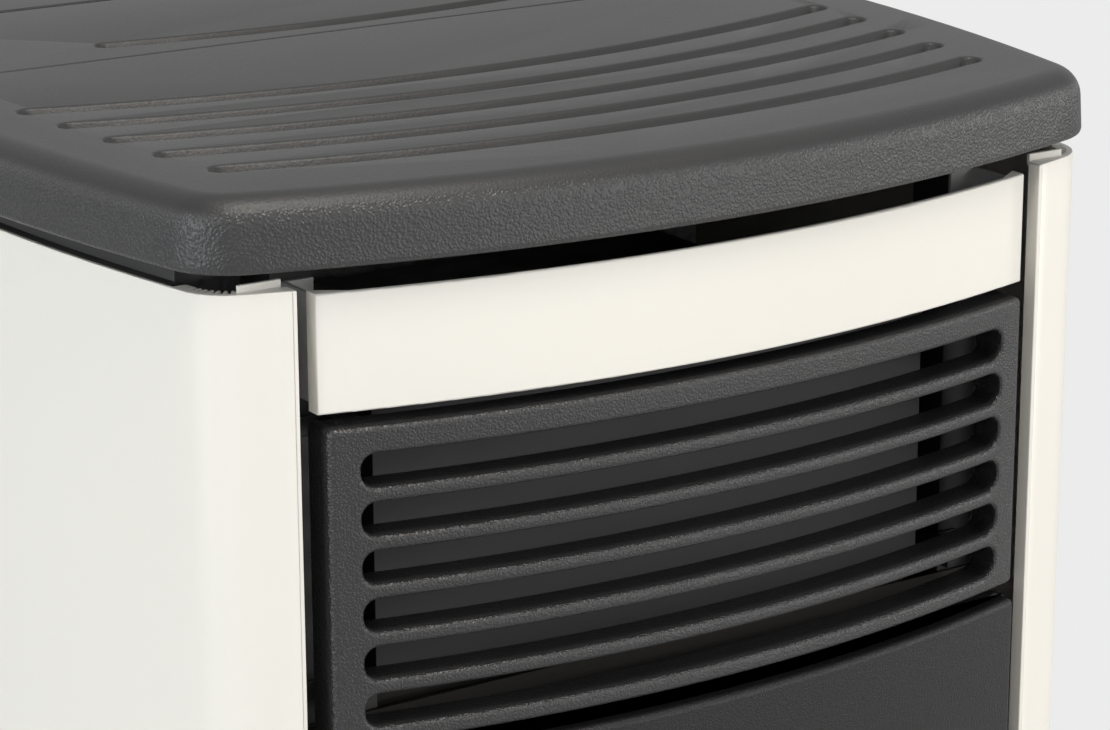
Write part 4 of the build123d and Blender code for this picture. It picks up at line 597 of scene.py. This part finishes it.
def frame_faces(mesh, half, low, high, holes):
    """Faces that fill a rectangle round a column of holes, each given as its half width, foot and top."""
    rows = [(high, 0, high)] + [(top, width, bottom) for width, bottom, top in holes] + [(low, 0, low)]
    for (top, width, bottom), (next_top, next_width, next_bottom) in zip(rows, rows[1:]):
        above = (top + bottom) / 2
        below = (next_top + next_bottom) / 2
        upper = [(width, above), (width, bottom), (-width, bottom), (-width, above)] if width else []
        lower = [(-next_width, below), (-next_width, next_top), (next_width, next_top),
                 (next_width, below)] if next_width else []
        flat_face(mesh, [(-half, below)] + lower + [(half, below), (half, above)] + upper + [(-half, above)])
    bmesh.ops.remove_doubles(mesh, verts=mesh.verts, dist=weld)


# %% Thickness and lip
def thicken(mesh, depth):
    """Extrudes a flat outline backwards into a solid, and returns the rear points."""
    grown = bmesh.ops.extrude_face_region(mesh, geom=mesh.faces[:], use_keep_orig=True)
    rear = [item for item in grown["geom"] if isinstance(item, bmesh.types.BMVert)]
    bmesh.ops.translate(mesh, verts=rear, vec=(0, depth, 0))
    bmesh.ops.recalc_face_normals(mesh, faces=mesh.faces)
    return rear


def round_lip(mesh, radius, segments):
    """Rounds every edge between the front face and the walls behind it."""
    lips = [edge for edge in mesh.edges if all(abs(vert.co.y) < near for vert in edge.verts)
            and any(abs(face.normal.y) < 0.5 for face in edge.link_faces)]
    bmesh.ops.bevel(mesh, geom=lips, offset=radius, offset_type="OFFSET", segments=segments, profile=0.5,
                    affect="EDGES", clamp_overlap=True, material=-1)


# %% [markdown]
# The grille's six slots run almost right across, with round ends. Its bars are seventeen millimetres deep,
# so from above one sees their dark upper sides and, in front, a thin lit lip.

# %% Air grille
grille_half = 0.187
grille_depth = 0.0172
grille_proud = 0.0035
grille_lip = 0.0024
outer_corner = 0.003
slot_half = 0.173
slot_tall = 0.015
slot_pitch = 0.0215
slot_corner = 0.0065
slot_count = 6
rim_above = 0.012

grille_low, grille_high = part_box("air_grille")
slot_tops = [grille_high[2] - rim_above - row * slot_pitch for row in range(slot_count)]
slots = [(slot_half, slot_top - slot_tall, slot_top) for slot_top in slot_tops]
middles = [slot_top - slot_tall / 2 for slot_top in slot_tops]
grille = bmesh.new()
frame_faces(grille, grille_half, grille_low[2], grille_high[2], slots)
round_corners(grille, slot_half, slot_corner, segments=5, splits=middles)
round_corners(grille, grille_half, outer_corner, segments=3, splits=middles)
thicken(grille, grille_depth)
round_lip(grille, grille_lip, segments=3)
bend_to_bow(grille, grille_proud)
print("grille:", len(grille.faces), "faces")
grille_piece = new_piece("grille_casting", grille, "stove", "cast_iron_top", "air_grille",
                         paint="cast_iron_front")
soften(grille_piece, 0)

# %% [markdown]
# The door is a skin of eight millimetres with a rim that reaches back to a flat plane. Its window's reveal
# slopes, so the hole's rear corners are drawn in. What the door has behind its skin, such as its flange
# and its bosses for hinges and spindle, is cut from its solid, so they stay where the hinge and the handle
# need them. The drawer front is made the same way, with a finger slot.

# %% What lies behind the skin
skin = 0.008
skin_proud = 0.004
skin_lip = 0.004
overlap = 0.001


def add_part(mesh, part, name):
    """Adds one bmesh to another through a mesh that is then removed."""
    data = bpy.data.meshes.new(name)
    part.to_mesh(data)
    part.free()
    mesh.from_mesh(data)
    bpy.data.meshes.remove(data)


def add_rim(mesh, half, low, high, rear):
    """A rim as thick as the skin, from the skin's back to a flat plane."""
    long_way = 1.0
    ring = bmesh.new()
    flat_face(ring, [(-half, low), (half, low), (half, high), (-half, high)])
    inner = bmesh.ops.inset_region(ring, faces=ring.faces[:], thickness=skin, use_boundary=True)
    bmesh.ops.delete(ring, geom=[face for face in ring.faces if face not in inner["faces"]], context="FACES")
    round_corners(ring, half, outer_corner, segments=3)
    thicken(ring, long_way)
    cut_columns(ring)
    for vert in ring.verts:
        vert.co.y = rear if vert.co.y > long_way / 2 else bow_at(vert.co.x, skin_proud) + skin
    add_part(mesh, ring, "rim")


def add_back(mesh, node, cut):
    """What a node has behind an upright plane, closed where it is cut off."""
    back = welded(node)
    bmesh.ops.bisect_plane(back, geom=back.verts[:] + back.edges[:] + back.faces[:], plane_co=(0, cut, 0),
                           plane_no=(0, 1, 0), clear_inner=True)
    cut_edges = [edge for edge in back.edges if edge.is_boundary]
    bmesh.ops.triangle_fill(back, edges=cut_edges, use_beauty=True, use_dissolve=False)
    bmesh.ops.recalc_face_normals(back, faces=back.faces)
    add_part(mesh, back, "back")


# %% Door and drawer castings
def bowed_casting(name, node, body, hole, corner, taper):
    """A casting with a rounded lip and one hole, whose rear corners are drawn in by the taper."""
    low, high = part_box(node)
    half = high[0]
    width, foot, top = hole
    middle = (foot + top) / 2
    mesh = bmesh.new()
    frame_faces(mesh, half, low[2], high[2], [hole])
    round_corners(mesh, width, corner, segments=6, splits=[middle])
    round_corners(mesh, half, outer_corner, segments=3, splits=[middle])
    for vert in thicken(mesh, skin):
        if abs(vert.co.x) < width + near and foot - near < vert.co.z < top + near:
            vert.co.x *= 1 - taper / width
            vert.co.z += taper * (1 if vert.co.z < middle else -1)
    round_lip(mesh, skin_lip, segments=4)
    bend_to_bow(mesh, skin_proud)
    behind_skin = bow_at(half, skin_proud) + skin + overlap
    add_rim(mesh, half, low[2], high[2], behind_skin)
    add_back(mesh, node, behind_skin)
    print(name + ":", len(mesh.faces), "faces")
    soften(new_piece(name, mesh, body, "cast_iron_top", node, paint="cast_iron_door"), 0)


window_half = 0.1309
window_foot = 0.3504
window_top = 0.6562
bowed_casting("door_casting", "fire_door", "door", (window_half, window_foot, window_top), corner=0.024,
              taper=0.0029)

drawer_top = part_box("ash_drawer_front")[1][2]
finger_half = 0.060
finger_foot = drawer_top - 0.040
finger_top = drawer_top - 0.020
bowed_casting("drawer_casting", "ash_drawer_front", "drawer", (finger_half, finger_foot, finger_top),
              corner=0.0098, taper=0.0)

# %% [markdown]
# Each kind of part has its own edge radius: castings are rounded by about a millimetre, housings and
# motors by half of that, folded sheet by three or four tenths, and buttons and pins by less.

# %% Edge radii by part
edge_radius = {
    "cast_top_plate": 0.0012, "hopper_lid": 0.0009, "grille_baffle": 0.0004, "latch_keeper": 0.0003,
    "door_handle": 0.0006, "ash_drawer_box": 0.0003, "latch_tongue": 0.0004, "glass_clips": 0.0003,
    "clip_screws": 0.0003, "door_hinge_pins": 0.0004, "burn_pot": 0.0008, "hearth_plate": 0.0008,
    "fire_liner": 0.0006, "firebox": 0.0006, "base_tray": 0.0004, "rear_panel": 0.0004,
    "rear_screws": 0.0004, "flue_collar": 0.0004, "air_intake_pipe": 0.0004, "power_inlet": 0.0004,
    "power_rocker": 0.0003, "control_panel": 0.0003, "display_window": 0.0002, "top_frame": 0.0003,
    "chassis_posts": 0.0003, "hopper": 0.0003, "lid_hinge_pins": 0.0002, "firebox_stand": 0.0003,
    "rear_bulkhead": 0.0003, "heat_exchanger": 0.0004, "button_1": 0.0002, "button_2": 0.0002,
    "button_3": 0.0002, "foot_front_left": 0.0006, "foot_front_right": 0.0006, "foot_rear_left": 0.0006,
    "foot_rear_right": 0.0006, "door_rope_seal": 0.0, "room_fan_housing": 0.0004, "exhaust_housing": 0.0006,
    "exhaust_motor": 0.0006, "room_fan_motor": 0.0006, "auger_gearmotor": 0.0006, "circuit_board": 0.0002,
    "auger_tube": 0.0003,
}
for name, width in edge_radius.items():
    look_of(name, merged(name), width)
print(len(edge_radius), "softened copies")

# %% [markdown]
# The cream sheet is what the photograph shows best. The hook tab at each side panel's top sits a little
# lower there than on the solid, and the band's top return is a narrow hem. Both are moves of the copy's
# vertices.

# %% Cream sheet
sheet_edge = 0.0005
tab_foot = 0.9436
tab_drop = 0.0028
for panel in ("left_side_panel", "right_side_panel"):
    mesh = merged(panel)
    tab = [vert for vert in mesh.verts if vert.co.z > tab_foot]
    bmesh.ops.translate(mesh, verts=tab, vec=(0, 0, -tab_drop))
    look_of(panel, mesh, sheet_edge)

band_low, band_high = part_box("front_band")
band_half = 0.1875
return_starts = 0.005
return_thick = 0.0015
hem_shift = 0.006
mesh = merged("front_band")
top_return = [vert for vert in mesh.verts if vert.co.y - bow_at(vert.co.x) > return_starts
              and vert.co.z > band_high[2] - return_thick and abs(vert.co.x) < band_half]
bmesh.ops.translate(mesh, verts=top_return, vec=(0, -hem_shift, 0))
look_of("front_band", mesh, 0)
print("band top at", round(band_high[2], 4))

# %% [markdown]
# The brackets are one node, but the photograph shows the upper ones beside the band in bare zinc, and the
# lower ones dark behind the grille. A copy of the node is split by height, so each share has its own
# finish.

# %% Brackets
bracket_edge = 0.0004


def share_of(name, piece_name, kept, paint, *stands_for):
    """The part of a node's copy whose faces pass the test, as a piece of its own."""
    mesh = merged(name)
    others = [face for face in mesh.faces if not kept(face.calc_center_median())]
    bmesh.ops.delete(mesh, geom=others, context="FACES")
    piece = new_piece(piece_name, mesh, nodes[name]["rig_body"], slot_of[name], *stands_for, paint=paint)
    soften(piece, bracket_edge)
    print(piece_name + ":", len(piece.data.polygons), "faces")


share_of("front_brackets", "band_brackets", lambda place: place.z > band_low[2], "bracket_zinc",
         "front_brackets")
share_of("front_brackets", "grille_brackets", lambda place: place.z < band_low[2], "dark_sheet")

# %% [markdown]
# ## Every other solid keeps its own mesh
# What is deep inside, such as the auger's screw and the fan wheels, needs no bevel, and the door's
# surround, glass and gasket keep their solids' exact fit. All of these stay and take their finish
# directly.

# %% Finishes on the solids that stay
for name, node in nodes.items():
    node.data.materials.clear()
    node.data.materials.append(finishes[slot_of[name]])
print(len(nodes), "solids have their finish")

# %% View settings and the end
scene.view_settings.view_transform = "Standard"
